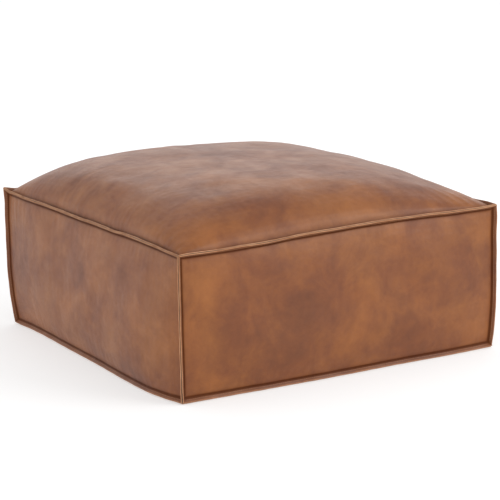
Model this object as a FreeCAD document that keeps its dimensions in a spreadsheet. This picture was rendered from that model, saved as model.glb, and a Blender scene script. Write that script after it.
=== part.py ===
"""Square leather floor pouf with flanged seams: a six-panel leather case that closes with a zip in its
base, over a calico liner, polyester fibre and a laminated foam core.

The frame is millimetres, +Z up, the front face towards -Y, and the origin on the floor under the middle.
Every leather panel ends in a lip that stands out at 45 degrees, and two lips face to face make a flange.
"""

import FreeCAD
import Part
import Sketcher
from FreeCAD import Placement, Rotation, Vector

import math
import os

DIMENSIONS = {
    # the case, measured on its seam lines
    "top_half": 446.5,  # half the side of the square seam round the top
    "base_half": 436.0,  # half the side of the square seam round the base
    "seam_high": 348.0,  # height of the top seam
    "seam_low": 12.0,  # height of the base seam
    "crown": 97.0,  # rise of the top panel above its seam
    "leather": 1.6,  # thickness of the hide
    "lip_rise": 8.5,  # how far a lip stands out along each of the two faces that it divides
    "side_gap": 0.3,  # a side panel's clearance from the seam line
    "top_gap": 0.15,  # the top panel's clearance from the seam line
    "base_gap": 0.5,  # the base panels' clearance from the seam line
    "side_shoulder_inset": 6.0,  # a side panel rolls out of its seam: the steep part ends here
    "side_shoulder_depth": 5.0,
    "side_face_inset": 24.0,  # and its flat face starts here
    "side_face_depth": 8.0,
    "base_shoulder_inset": 8.0,
    "base_shoulder_depth": 8.5,
    "base_face_inset": 28.0,
    # the zip in the base, along X
    "channel_half": 22.0,  # the base leather starts to rise towards the zip here
    "fold_half": 16.0,  # it is level again here
    "slot_half": 10.0,  # and its edge is here
    "fold_level": 5.2,  # height of the level edge's underside
    "fold_length": 796.0,
    "end_tab": 1.6,  # thickness of the leather tab that shuts each end of the channel
    "tape_length": 795.0,
    "tape_inner": 3.8,
    "tape_outer": 16.4,
    "tape_low": 7.1,
    "tape_thick": 0.8,
    "coil_inner": 0.8,
    "coil_outer": 3.7,
    "coil_low": 6.0,
    "coil_thick": 3.0,
    "coil_length": 772.0,
    "stop_length": 5.0,
    # the zip slider, in its own frame: X along the zip, Z up, its origin in the middle of the coil
    "slider_x": 360.0,  # where it rests, with the zip closed
    "slider_length": 16.0,
    "slider_half": 6.6,
    "slider_tail_half": 5.4,
    "slider_plate": 1.4,
    "slider_plate_from": 1.9,  # from the middle of the coil to each plate
    "slider_wall": 1.0,
    "slider_wall_height": 1.2,
    "post_length": 4.0,
    "post_half": 0.45,
    "bail_half_length": 5.2,
    "bail_half_width": 1.2,
    "bail_opening": 2.4,
    "bail_thick": 1.2,
    "bail_leg": 1.6,
    "bail_round": 1.1,
    # the pull tab, which turns on a cross bar inside the bail
    "pull_thick": 1.6,
    "pull_length": 30.0,
    "pull_arm_half": 3.3,
    "pull_tab_half": 4.5,
    "pull_window_half": 1.7,
    "pull_window_length": 8.2,
    "pull_corner": 3.6,
    "pull_round": 0.74,
    # the liner and the filling
    "calico": 0.8,
    "liner_clear": 2.6,  # from the seam line to the outside of the liner
    "liner_rim": 13.0,
    "liner_floor": 2.2,
    "liner_shoulder_inset": 8.0,
    "liner_shoulder_depth": 6.6,
    "liner_face_inset": 28.0,
    "liner_top": 347.6,
    "liner_crown": 95.2,
    "tunnel_half": 18.0,  # half width of the tunnel that the liner leaves over the zip
    "tunnel_reach": 404.8,
    "tunnel_slope": 8.0,
    "tunnel_level": 11.6,
    "foam_half": 416.0,
    "foam_corner": 20.0,
    "base_foam_low": 3.4,
    "base_foam_toe": 404.0,
    "base_foam_top": 53.0,
    "core_top": 283.0,
    "comfort_top": 333.0,
    "layer_gap": 0.2,
    "groove_half": 28.0,
    "groove_level": 13.2,
    "fibre_clear": 4.1,  # from the seam line to the outside of the side fibre
    "fibre_skin_clear": 2.0,  # from the inside of a side's leather to the fibre
    "liner_skin_clear": 0.6,
    "roll_root": 7.0,  # how far the rolled sides reach into the block
    "wrap_low": 14.0,
    "crown_pad_crown": 94.2,
    # sewing thread
    "thread": 0.4,  # radius
    "stitch_line": 5.0,  # from the seam line to the thread, along the lip
    "zip_stitch": 13.0,  # from the middle of the zip to the thread that holds a tape
    "ring_corner": 4.0,
}

SLANT = "sqrt((dims.seam_high - dims.seam_low)^2 + (dims.top_half - dims.base_half)^2)"
SIDES = ("front", "right", "back", "left")
GRID = 17  # points each way across a crowned surface

doc = FreeCAD.newDocument("pouf")
dims = doc.addObject("Spreadsheet::Sheet", "dims")
for row, (alias, number) in enumerate(DIMENSIONS.items(), start=1):
    dims.set(f"A{row}", alias)
    dims.set(f"B{row}", str(number))
    dims.setAlias(f"B{row}", alias)
doc.recompute()


def size(alias):
    """A driving dimension, for the few shapes that no expression can reach."""
    return float(dims.get(alias))


def bind(thing, **expressions):
    """Binds an object's properties to expressions over the sheet."""
    for name, expression in expressions.items():
        thing.setExpression(name, expression)
    return thing


# ---- sketches and features ----


def new_body(label):
    body = doc.addObject("PartDesign::Body", label + "_body")
    body.Label = label
    return body


def plane(body, role):
    return next(o for o in body.Origin.OriginFeatures if o.Role == role)


def outline(body, name, points, role="XY_Plane", height="0"):
    """A closed polygon sketch. Each corner is a pair of expressions from the plane's origin."""
    sketch = body.newObject("Sketcher::SketchObject", name)
    sketch.AttachmentSupport = [(plane(body, role), "")]
    sketch.MapMode = "FlatFace"
    sketch.setExpression("AttachmentOffset.Base.z", height)
    count = len(points)
    turn = 2 * math.pi / count
    start = [Vector(10 * math.cos(turn * i), 10 * math.sin(turn * i), 0) for i in range(count)]
    for i in range(count):
        sketch.addGeometry(Part.LineSegment(start[i], start[(i + 1) % count]), False)
    for i in range(count):
        sketch.addConstraint(Sketcher.Constraint("Coincident", i, 2, (i + 1) % count, 1))
    for i, corner in enumerate(points):
        for kind, expression in zip(("DistanceX", "DistanceY"), corner):
            index = sketch.addConstraint(Sketcher.Constraint(kind, i, 1, 1.0))
            sketch.setExpression(f"Constraints[{index}]", expression)
    return sketch


def rectangle(x_low, x_high, y_low, y_high):
    return [(x_low, y_low), (x_high, y_low), (x_high, y_high), (x_low, y_high)]


def square(half):
    return rectangle(f"-({half})", half, f"-({half})", half)


def loft(body, name, sketches, cut=False):
    kind = "PartDesign::SubtractiveLoft" if cut else "PartDesign::AdditiveLoft"
    feature = body.newObject(kind, name)
    feature.Profile = sketches[0]
    feature.Sections = sketches[1:]
    feature.Ruled = True
    return feature


def pad(body, name, sketch, length, both_ways=False):
    feature = body.newObject("PartDesign::Pad", name)
    feature.Profile = sketch
    feature.Midplane = both_ways
    return bind(feature, Length=length)


def pocket(body, name, sketch, length):
    """Cuts the sketch's outline away on both sides of its plane."""
    feature = body.newObject("PartDesign::Pocket", name)
    feature.Profile = sketch
    feature.Midplane = True
    return bind(feature, Length=length)


def fillet(body, name, radius, wanted):
    """Rounds the edges of the body's present shape that wanted accepts."""
    doc.recompute()
    base = body.Tip
    edges = [f"Edge{i}" for i, e in enumerate(base.Shape.Edges, start=1) if wanted(e)]
    feature = body.newObject("PartDesign::Fillet", name)
    feature.Base = (base, edges)
    return bind(feature, Radius=radius)


def pipe_ring(body, name, half, corner, height, radius):
    """A closed round thread along a square with rounded corners."""
    path = body.newObject("Sketcher::SketchObject", name + "_path")
    path.AttachmentSupport = [(plane(body, "XY_Plane"), "")]
    path.MapMode = "FlatFace"
    path.setExpression("AttachmentOffset.Base.z", height)
    rounded_square(path, half, corner)
    ring = body.newObject("Sketcher::SketchObject", name + "_section")
    ring.AttachmentSupport = [(plane(body, "XZ_Plane"), "")]
    ring.MapMode = "FlatFace"
    ring.addGeometry(Part.Circle(Vector(10, 10, 0), Vector(0, 0, 1), 1.0), False)
    for kind, expression in (("DistanceX", half), ("DistanceY", height)):
        index = ring.addConstraint(Sketcher.Constraint(kind, 0, 3, 1.0))
        ring.setExpression(f"Constraints[{index}]", expression)
    index = ring.addConstraint(Sketcher.Constraint("Radius", 0, 1.0))
    ring.setExpression(f"Constraints[{index}]", radius)
    sweep = body.newObject("PartDesign::AdditivePipe", name)
    sweep.Profile = ring
    sweep.Spine = path
    return sweep


def rounded_square(sketch, half, corner):
    """Four lines and four arcs, tangent to each other, about the sketch's origin."""
    far, near, radius = 100.0, 90.0, 10.0
    for quarter in range(4):
        turn = math.pi / 2 * quarter
        along, out = Vector(-math.sin(turn), math.cos(turn), 0), Vector(math.cos(turn), math.sin(turn), 0)
        sketch.addGeometry(Part.LineSegment(out * far - along * near, out * far + along * near), False)
        middle = (out + along) * near
        circle = Part.Circle(middle, Vector(0, 0, 1), radius)
        sketch.addGeometry(Part.ArcOfCircle(circle, turn, turn + math.pi / 2), False)
    for side in range(4):
        line, arc, following = 2 * side, 2 * side + 1, (2 * side + 2) % 8
        sketch.addConstraint(Sketcher.Constraint("Tangent", line, 2, arc, 1))
        sketch.addConstraint(Sketcher.Constraint("Tangent", arc, 2, following, 1))
        if side % 2 == 0:
            sketch.addConstraint(Sketcher.Constraint("Vertical", line))
        else:
            sketch.addConstraint(Sketcher.Constraint("Horizontal", line))
    for arc in (3, 5, 7):
        sketch.addConstraint(Sketcher.Constraint("Equal", 1, arc))
    index = sketch.addConstraint(Sketcher.Constraint("Radius", 1, 10.0))
    sketch.setExpression(f"Constraints[{index}]", corner)
    for line, kind, expression in (
        (0, "DistanceX", half),
        (4, "DistanceX", f"-({half})"),
        (2, "DistanceY", half),
        (6, "DistanceY", f"-({half})"),
    ):
        index = sketch.addConstraint(Sketcher.Constraint(kind, line, 1, 1.0))
        sketch.setExpression(f"Constraints[{index}]", expression)


# ---- crowned solids ----


def crowned_solid(half_low, half_high, low, high, crown):
    """A square block, wider at the top, with straight sides and a crowned top like a cushion's."""

    def profile(share):
        across = math.sin(math.pi * share / 2)
        return across, math.cos(math.pi * share / 2) * math.sqrt(1 + across * across)

    steps = [profile(-1 + 2 * i / (GRID - 1)) for i in range(GRID)]
    grid = [
        [Vector(half_high * x, half_high * y, high + crown * rise_x * rise_y) for x, rise_x in steps]
        for y, rise_y in steps
    ]
    surface = Part.BSplineSurface()
    surface.interpolate(grid)
    top = surface.toShape()
    corner = [(-1, -1), (1, -1), (1, 1), (-1, 1)]
    if high - low < 1e-6:
        below = [Part.Face(Part.Wire(Part.__sortEdges__(top.Edges)))]
    else:
        lower = [Vector(half_low * x, half_low * y, low) for x, y in corner]
        upper = [Vector(half_high * x, half_high * y, high) for x, y in corner]
        below = [Part.Face(Part.makePolygon(lower + lower[:1]))]
        for i in range(4):
            j = (i + 1) % 4
            below.append(Part.Face(Part.makePolygon([lower[i], lower[j], upper[j], upper[i], lower[i]])))
    shell = Part.Shell([top] + below)
    shell.sewShape()
    return Part.Solid(shell)


def crowned_feature(name, shape):
    feature = doc.addObject("Part::Feature", name)
    feature.Shape = shape
    return feature


def seam_half(height):
    """Half the width of the case's seam line at a height."""
    share = (height - size("seam_low")) / (size("seam_high") - size("seam_low"))
    return size("base_half") + share * (size("top_half") - size("base_half"))


# ---- the leather case ----


def lip(body, corners):
    """The lip round a panel, flared at 45 degrees. The panel lies in XY and its outside faces +Z."""
    rise, wall = "dims.lip_rise", "dims.leather * 1.4142"
    outer = [
        outline(body, "lip_root", corners("0")),
        outline(body, "lip_tip", corners(f"-{rise}"), height=rise),
    ]
    loft(body, "lip", outer)
    inner = [
        outline(body, "lip_hollow_root", corners(wall)),
        outline(body, "lip_hollow_tip", corners(f"({wall} - {rise})"), height=rise),
    ]
    loft(body, "lip_hollow", inner, cut=True)


def tray(body, corners, kind, wall, depth):
    """A panel that rolls out of its seam over a shoulder and ends in a flat face."""
    shoulder = (f"dims.{kind}_shoulder_inset", f"dims.{kind}_shoulder_depth")
    outer = [
        outline(body, "rim", corners("0")),
        outline(body, "shoulder", corners(shoulder[0]), height=shoulder[1]),
        outline(body, "face", corners(f"dims.{kind}_face_inset"), height=depth),
    ]
    loft(body, "skin", outer)
    inner = [
        outline(body, "hollow_rim", corners(f"1.6 * {wall}")),
        outline(
            body,
            "hollow_shoulder",
            corners(f"{shoulder[0]} + 0.5 * {wall}"),
            height=f"{shoulder[1]} - {wall}",
        ),
        outline(body, "hollow_face", corners(f"dims.{kind}_face_inset"), height=f"{depth} - {wall}"),
    ]
    loft(body, "hollow", inner, cut=True)


def side_corners(inset):
    """The corners of a side, in its own plane: its X along the seam, its Y up the slope."""
    low, high = f"{inset}", f"{SLANT} - ({inset})"
    foot, head = f"dims.base_half - ({inset})", f"dims.top_half - ({inset})"
    return [(f"-({foot})", low), (foot, low), (head, high), (f"-({head})", high)]


def side_stand(index):
    """Stands a side up against its seam line, leaning out a little, its own Z out of the case."""
    lean = math.degrees(
        math.atan2(size("top_half") - size("base_half"), size("seam_high") - size("seam_low"))
    )
    stand = Placement(Vector(0, -size("base_half"), size("seam_low")), Rotation(Vector(1, 0, 0), 90 + lean))
    return Placement(Vector(), Rotation(Vector(0, 0, 1), 90 * index)) * stand


def side_panel(index, side):
    """One of the four equal sides."""
    body = new_body(f"{side}_panel")

    def corners(inset):
        return side_corners(f"dims.side_gap + {inset}")

    lip(body, corners)
    tray(body, corners, "side", "dims.leather", "dims.side_face_depth")
    body.Placement = side_stand(index)
    return body


def top_panel():
    """The crowned top, one hide, with its lip."""
    edge = new_body("top_lip")
    lip(edge, lambda inset: square(f"(dims.top_half - dims.top_gap - ({inset}))"))
    edge.Placement = Placement(Vector(0, 0, size("seam_high")), Rotation())
    seam, rise, wall = size("seam_high"), size("crown"), size("leather")
    width = size("top_half") - size("top_gap")
    outside = crowned_feature("top_outside", crowned_solid(width, width, seam, seam, rise))
    inside = crowned_feature(
        "top_inside", crowned_solid(width - wall, width - wall, seam, seam, rise - wall)
    )
    dome = doc.addObject("Part::Cut", "top_dome")
    dome.Base, dome.Tool = outside, inside
    panel = doc.addObject("Part::Fuse", "top_panel_fuse")
    panel.Base, panel.Tool = dome, edge
    panel.Label = "top_panel"
    return panel


def zip_fold(body, wall):
    """The edge of a base panel, raised and level beside the zip. It lies on the body's +Y side."""
    profile = outline(
        body,
        "fold_profile",
        [
            ("dims.channel_half + 0.6", "dims.seam_low"),
            ("dims.fold_half", "dims.seam_low - dims.fold_level"),
            ("dims.slot_half", "dims.seam_low - dims.fold_level"),
            ("dims.slot_half", f"dims.seam_low - dims.fold_level - {wall}"),
            (f"dims.fold_half + 0.5 * {wall}", f"dims.seam_low - dims.fold_level - {wall}"),
            ("dims.channel_half + 0.6", f"dims.seam_low - {wall}"),
        ],
        role="YZ_Plane",
    )
    pad(body, "fold", profile, "dims.fold_length", both_ways=True)


def base_panel(side):
    """Half of the base. Its own Z points down, so its own Y is turned round when it is placed."""
    body = new_body(f"base_panel_{side}")

    def corners(inset):
        return square(f"(dims.base_half - dims.base_gap - ({inset}))")

    lip(body, corners)
    tray(body, corners, "base", "dims.leather", "dims.seam_low")
    far = "dims.base_half + 2 * dims.lip_rise"
    across = rectangle(f"-({far})", far, f"-({far})", "0.5 * dims.layer_gap")
    other_half = outline(body, "other_half", across)
    pocket(body, "halve", other_half, "4 * dims.seam_low")
    reach = "0.5 * dims.fold_length + dims.end_tab + 0.4"
    channel = outline(body, "channel", rectangle(f"-({reach})", reach, "-1", "dims.channel_half"))
    pocket(body, "open_channel", channel, "4 * dims.seam_low")
    zip_fold(body, "dims.leather")
    turned = Rotation(Vector(1, 0, 0), 180)
    if side == "back":
        turned = Rotation(Vector(0, 0, 1), 180) * turned
    body.Placement = Placement(Vector(0, 0, size("seam_low")), turned)
    return body


# ---- the zip ----


def mirrored_pair(names, make):
    """The same strip on each side of the zip: the front one at -Y, the back one turned round to +Y."""
    made = []
    for name, turn in zip(names, (180, 0)):
        piece = make(name)
        piece.Placement = Placement(Vector(), Rotation(Vector(0, 0, 1), turn))
        made.append(piece)
    return made


def strip(name, length, inner, outer, low, thick):
    body = new_body(name)
    across = rectangle(inner, outer, low, f"{low} + {thick}")
    pad(body, "strip", outline(body, "strip_section", across, role="YZ_Plane"), length, both_ways=True)
    return body


def zip_tape(name):
    return strip(
        name, "dims.tape_length", "dims.tape_inner", "dims.tape_outer", "dims.tape_low", "dims.tape_thick"
    )


def zip_coil(name):
    return strip(
        name, "dims.coil_length", "dims.coil_inner", "dims.coil_outer", "dims.coil_low", "dims.coil_thick"
    )


def end_tabs():
    """A leather tab at each end shuts the channel round the zip."""
    tabs = []
    for name, turn in (("right", 0), ("left", 180)):
        body = new_body(f"zip_end_tab_{name}")
        top_half, foot_half = "dims.fold_half - 1", "dims.channel_half - 0.6"
        shape = [
            (f"-({foot_half})", "dims.layer_gap"),
            (foot_half, "dims.layer_gap"),
            (top_half, "dims.fold_level + dims.leather"),
            (f"-({top_half})", "dims.fold_level + dims.leather"),
        ]
        section = outline(
            body, "tab_shape", shape, role="YZ_Plane", height="0.5 * dims.fold_length + dims.layer_gap"
        )
        pad(body, "tab", section, "dims.end_tab")
        body.Placement = Placement(Vector(), Rotation(Vector(0, 0, 1), turn))
        tabs.append(body)
    return group("zip_end_tabs", tabs)


def block_section(inner):
    """A stop's section across the zip, as tall as a coil and a little more."""
    low, high = "dims.coil_low - 0.4", "dims.coil_low + dims.coil_thick + 0.4"
    return rectangle(inner, "dims.coil_outer", low, high)


def zip_stops():
    """The bottom stop bridges both coils at the open end; a top stop ends each coil at the other end."""
    half_coil = "0.5 * dims.coil_length"
    gap = "dims.layer_gap"
    bottom = new_body("zip_bottom_stop")
    across = block_section("-dims.coil_outer")
    start = f"-({half_coil} + {gap} + dims.stop_length)"
    block = outline(bottom, "block_shape", across, role="YZ_Plane", height=start)
    pad(bottom, "block", block, "dims.stop_length")
    tops = []
    for name, turn in (("top_stop_back", 0), ("top_stop_front", 180)):
        body = new_body(name)
        section = block_section("dims.coil_inner")
        begin = f"{half_coil} + {gap}" if turn == 0 else f"-({half_coil} + {gap} + dims.stop_length)"
        block = outline(body, "block_shape", section, role="YZ_Plane", height=begin)
        pad(body, "block", block, "dims.stop_length")
        body.Placement = Placement(Vector(), Rotation(Vector(0, 0, 1), turn))
        tops.append(body)
    return bottom, group("zip_top_stops", tops)


def plate_outline():
    """The slider's plan: full width over its front half, narrower at its tail."""
    front, tail = "0.5 * dims.slider_length", "-0.5 * dims.slider_length"
    wide, narrow = "dims.slider_half", "dims.slider_tail_half"
    return [
        (tail, f"-({narrow})"),
        ("0", f"-({wide})"),
        (front, f"-({wide})"),
        (front, wide),
        ("0", wide),
        (tail, narrow),
    ]


def zip_slider():
    """Two plates round the coils, joined by a thin post, with a bail under the lower plate."""
    body = new_body("zip_slider")
    start, plate = "dims.slider_plate_from", "dims.slider_plate"
    for name, low in (("upper", start), ("lower", f"-({start} + {plate})")):
        pad(body, f"{name}_plate", outline(body, f"{name}_shape", plate_outline(), height=low), plate)
    edge = "0.5 * dims.slider_length"
    for name, low in (("upper", f"{start} - dims.slider_wall_height"), ("lower", f"-{start}")):
        for hand, sign in (("back", ""), ("front", "-")):
            inner, outer = "dims.slider_half - dims.slider_wall", "dims.slider_half"
            wall = [
                ("0", f"{sign}({inner})"),
                (edge, f"{sign}({inner})"),
                (edge, f"{sign}({outer})"),
                ("0", f"{sign}({outer})"),
            ]
            shape = outline(body, f"{name}_{hand}_wall_shape", wall, height=low)
            pad(body, f"{name}_{hand}_wall", shape, "dims.slider_wall_height")
    post = rectangle(f"{edge} - dims.post_length", edge, "-dims.post_half", "dims.post_half")
    post_shape = outline(body, "post_shape", post, height=f"-({start} + 0.5 * {plate})")
    pad(body, "post", post_shape, f"2 * {start} + {plate}")
    bail_top = f"-({start} + {plate} - 0.5)"
    bail_under = f"-({start} + {plate} + dims.bail_opening + dims.bail_thick)"
    opening_under = f"-({start} + {plate} + dims.bail_opening)"
    out, within = "dims.bail_half_length", "dims.bail_half_length - dims.bail_leg"
    arch = [
        (f"-({out})", bail_top),
        (f"-({out})", bail_under),
        (out, bail_under),
        (out, bail_top),
        (within, bail_top),
        (within, opening_under),
        (f"-({within})", opening_under),
        (f"-({within})", bail_top),
    ]
    width = "2 * dims.bail_half_width"
    pad(body, "bail", outline(body, "bail_shape", arch, role="XZ_Plane"), width, both_ways=True)

    def outer_corner(edge):
        ends = [v.Point for v in edge.Vertexes]
        level = all(abs(p.z + size("slider_plate_from") + size("slider_plate") + drop) < 1e-3 for p in ends)
        return level and all(abs(abs(p.x) - size("bail_half_length")) < 1e-3 for p in ends)

    drop = size("bail_opening") + size("bail_thick")
    fillet(body, "bail_corners", "dims.bail_round", outer_corner)
    middle = size("coil_low") + size("coil_thick") / 2
    body.Placement = Placement(Vector(size("slider_x"), 0, middle), Rotation())
    return body


def pivot_drop():
    """How far the pull's pivot lies below the middle of the coil."""
    return size("slider_plate_from") + size("slider_plate") + size("bail_opening") / 2


def zip_pull():
    """A flat tab with a window round the bail. Its own origin is on its pivot and it points along -X."""
    body = new_body("zip_pull")
    thick = "dims.pull_thick"
    nose, neck, flare = "0.5 * dims.pull_thick", "-10", "-13"
    arm, tab = "dims.pull_arm_half", "dims.pull_tab_half"
    plan = [
        (nose, f"-{arm}"),
        (nose, arm),
        (neck, arm),
        (flare, tab),
        ("-dims.pull_length", tab),
        ("-dims.pull_length", f"-{tab}"),
        (flare, f"-{tab}"),
        (neck, f"-{arm}"),
    ]
    pad(body, "plate", outline(body, "plate_shape", plan), thick, both_ways=True)
    wide = "dims.pull_window_half"
    window = rectangle(f"-({nose} + dims.pull_window_length)", f"-({nose})", f"-{wide}", wide)
    pocket(body, "window", outline(body, "window_shape", window), f"3 * {thick}")

    def at(edge, x, along):
        ends = [v.Point for v in edge.Vertexes]
        level = all(abs(p.x - x) < 1e-3 for p in ends)
        return level and len(ends) == 2 and abs((ends[1] - ends[0]).normalize().dot(along)) > 0.99

    half = size("pull_thick") / 2
    fillet(body, "end_corners", "dims.pull_corner", lambda e: at(e, -size("pull_length"), Vector(0, 0, 1)))
    across = Vector(0, 1, 0)
    fillet(body, "bar_round", "dims.pull_round", lambda e: at(e, half, across) or at(e, -half, across))
    middle = size("coil_low") + size("coil_thick") / 2
    body.Placement = Placement(Vector(size("slider_x"), 0, middle - pivot_drop()), Rotation())
    return body


# ---- sewing thread ----


def group(label, members):
    made = doc.addObject("Part::Compound", label + "_group")
    made.Links = members
    made.Label = label
    return made


def lip_threads(name, kind, level, up):
    """Thread round a level flange: a closed run on the inner lip, four straight runs on the outer lips."""
    along = "dims.stitch_line * 0.7071"
    clear = "(dims.leather + dims.thread + 0.15) * 0.7071"
    inner = new_body(name + "_inner")
    half, sign = f"dims.{kind}_half - dims.{kind}_gap", "+" if up else "-"
    pipe_ring(
        inner,
        "inner_run",
        f"({half} + {along} - {clear})",
        "dims.ring_corner",
        f"(dims.{level} {sign} {along} {sign} {clear})",
        "dims.thread",
    )
    step = size("stitch_line") / math.sqrt(2)
    off = (size("leather") + size("thread") + 0.5) / math.sqrt(2)
    reach = size(f"{kind}_half") - size("lip_rise")
    across = size(f"{kind}_half") + step + off
    height = size(level) + (step - off if up else off - step)
    runs = [inner]
    for side in range(4):
        turn = Rotation(Vector(0, 0, 1), 90 * side)
        ends = [turn.multVec(Vector(x, -across, height)) for x in (-reach, reach)]
        runs.append(straight_thread(f"{name}_run_{side}", *ends))
    return group(name, runs)


def straight_thread(name, start, end):
    run = doc.addObject("Part::Cylinder", name)
    bind(run, Radius="dims.thread")
    run.Height = (end - start).Length
    run.Placement = Placement(start, Rotation(Vector(0, 0, 1), end - start))
    return run


def corner_threads():
    """Two runs of thread on each upright flange, one on each face of it."""
    along = size("stitch_line") / math.sqrt(2)
    clear = (size("leather") + size("thread") + 0.35) / math.sqrt(2)
    trim = size("lip_rise") + 2.0
    runs = []
    for corner in range(4):
        turn = Rotation(Vector(0, 0, 1), 90 * corner)
        for face in (1, -1):
            shift = Vector(along + face * clear, -along + face * clear, 0)
            ends = [
                turn.multVec(Vector(seam_half(level), -seam_half(level), level) + shift)
                for level in (size("seam_low") + trim, size("seam_high") - trim)
            ]
            runs.append(straight_thread(f"corner_thread_{corner}_{'a' if face > 0 else 'b'}", *ends))
    return group("corner_seam_threads", runs)


def zip_threads():
    """The thread that holds each tape under the base leather's raised edge."""
    reach = size("fold_length") / 2 - 3
    level = size("fold_level") - size("thread") - 0.1
    runs = []
    for name, across in (("front", -size("zip_stitch")), ("back", size("zip_stitch"))):
        runs.append(
            straight_thread(
                f"zip_thread_{name}", Vector(-reach, across, level), Vector(reach, across, level)
            )
        )
    return group("zip_seam_threads", runs)


# ---- the liner and the filling ----


def side_roll(name, index, clear):
    """The bulge of the filling behind one side panel, held off the inside of the leather by clear."""
    body = new_body(name)
    rim = f"1.6 * dims.leather + {clear}"
    shoulder = f"dims.side_shoulder_inset + 0.5 * dims.leather + 0.8 * {clear}"
    sections = [
        outline(body, "root", side_corners(rim), height="-dims.roll_root"),
        outline(body, "rim", side_corners(rim)),
        outline(
            body,
            "shoulder",
            side_corners(shoulder),
            height=f"dims.side_shoulder_depth - dims.leather - 0.6 * {clear}",
        ),
        outline(
            body,
            "face",
            side_corners(f"dims.side_face_inset + {clear}"),
            height=f"dims.side_face_depth - dims.leather - {clear}",
        ),
    ]
    loft(body, "roll", sections)
    body.Placement = side_stand(index)
    return body


def cushion(name, clear, low, high, crown, skin):
    """A crowned block with four rolled sides, kept clear of the seams and the rolls of the skin."""
    block = crowned_feature(
        f"{name}_block", crowned_solid(seam_half(low) - clear, seam_half(high) - clear, low, high, crown)
    )
    rolls = [side_roll(f"{name}_{side}_roll", index, skin) for index, side in enumerate(SIDES)]
    whole = doc.addObject("Part::MultiFuse", name)
    whole.Shapes = [block, *rolls]
    return whole


def liner_case():
    """The calico bag's top and four sides, one shell."""
    clear, wall = size("liner_clear"), size("calico")
    low, high, rise = size("liner_rim"), size("liner_top"), size("liner_crown")
    outside = cushion("liner_outside", clear, low, high, rise, "dims.liner_skin_clear")
    inside = cushion(
        "liner_inside", clear + wall, low - 5, high, rise - wall, "(dims.liner_skin_clear + dims.calico)"
    )
    bag = doc.addObject("Part::Cut", "liner_case_cut")
    bag.Base, bag.Tool = outside, inside
    bag.Label = "liner_case"
    return bag


def liner_base():
    """The calico bag's base, a shallow tray with a tunnel over the zip. Its own Z points down."""
    body = new_body("liner_base")
    half = "dims.base_half - dims.liner_clear - 0.4"
    rim = "dims.liner_rim - dims.layer_gap"

    def corners(inset):
        return square(f"{half} - ({inset})")

    tray(body, corners, "liner", "dims.calico", f"{rim} - dims.liner_floor")
    floor, level = f"{rim} - dims.liner_floor", f"{rim} - dims.tunnel_level"
    slope = "dims.tunnel_slope"
    reach, breadth = "dims.tunnel_reach", "dims.tunnel_half"
    mouth = rectangle(f"-{reach}", reach, f"-({breadth} + {slope})", f"{breadth} + {slope}")
    roof = rectangle(f"-({reach} - {slope})", f"{reach} - {slope}", f"-{breadth}", breadth)
    over = [
        outline(body, "tunnel_foot", mouth, height=f"{floor} - dims.calico"),
        outline(body, "tunnel_roof", roof, height=f"{level} - dims.calico"),
    ]
    loft(body, "tunnel", over)
    under = [
        outline(body, "tunnel_mouth", mouth, height=floor),
        outline(body, "tunnel_ceiling", roof, height=level),
    ]
    loft(body, "tunnel_hollow", under, cut=True)
    body.Placement = Placement(
        Vector(0, 0, size("liner_rim") - size("layer_gap")), Rotation(Vector(1, 0, 0), 180)
    )
    return body


def base_foam():
    """The firm bottom slab, with a toe all round and a groove over the zip."""
    body = new_body("base_foam_slab")
    sections = [
        outline(body, "toe", square("dims.base_foam_toe"), height="dims.base_foam_low"),
        outline(body, "heel", square("dims.foam_half"), height="dims.seam_low + 4"),
        outline(body, "top", square("dims.foam_half"), height="dims.base_foam_top"),
    ]
    loft(body, "slab", sections)
    groove = rectangle("-dims.groove_half", "dims.groove_half", "-1", "dims.groove_level")
    pocket(body, "groove", outline(body, "groove_shape", groove, role="YZ_Plane"), "4 * dims.foam_half")
    return body


def foam_slab(name, low, high):
    """A block of foam with rounded upright edges."""
    body = new_body(name)
    base = f"{low} + dims.layer_gap"
    block = outline(body, "block_shape", square("dims.foam_half"), height=base)
    pad(body, "block", block, f"{high} - ({base})")

    def upright(edge):
        ends = [v.Point for v in edge.Vertexes]
        return len(ends) == 2 and abs((ends[1] - ends[0]).normalize().z) > 0.99

    fillet(body, "edges", "dims.foam_corner", upright)
    return body


def slab(name, low, high, half="(dims.top_half + 2 * dims.lip_rise)"):
    """A square cutter between two heights."""
    box = doc.addObject("Part::Box", name)
    bind(box, Length=f"2 * {half}", Width=f"2 * {half}", Height=f"{high} - ({low})")
    box.setExpression(".Placement.Base.x", f"-{half}")
    box.setExpression(".Placement.Base.y", f"-{half}")
    box.setExpression(".Placement.Base.z", low)
    return box


def fibre():
    """Polyester fibre: a band round the foam, and a domed pad over it that gives the top its crown."""
    clear, low, high = size("fibre_clear"), size("wrap_low"), size("liner_top") - 0.4
    filling = cushion("filling", clear, low, high, size("crown_pad_crown"), "dims.fibre_skin_clear")
    foam_hole = slab("foam_hole", "0", "dims.comfort_top", "(dims.foam_half + 2 * dims.layer_gap)")
    above = slab("above_the_foam", "dims.comfort_top", "2 * dims.seam_high")
    below = slab("below_the_crown", "0", "dims.comfort_top + 2 * dims.layer_gap")
    outer_band = doc.addObject("Part::Cut", "outer_band")
    outer_band.Base, outer_band.Tool = filling, above
    wrap = doc.addObject("Part::Cut", "fibre_wrap_cut")
    wrap.Base, wrap.Tool = outer_band, foam_hole
    wrap.Label = "fibre_wrap"
    crown = doc.addObject("Part::Cut", "fibre_crown_pad_cut")
    crown.Base, crown.Tool = filling, below
    crown.Label = "fibre_crown_pad"
    return [wrap, crown]


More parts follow.
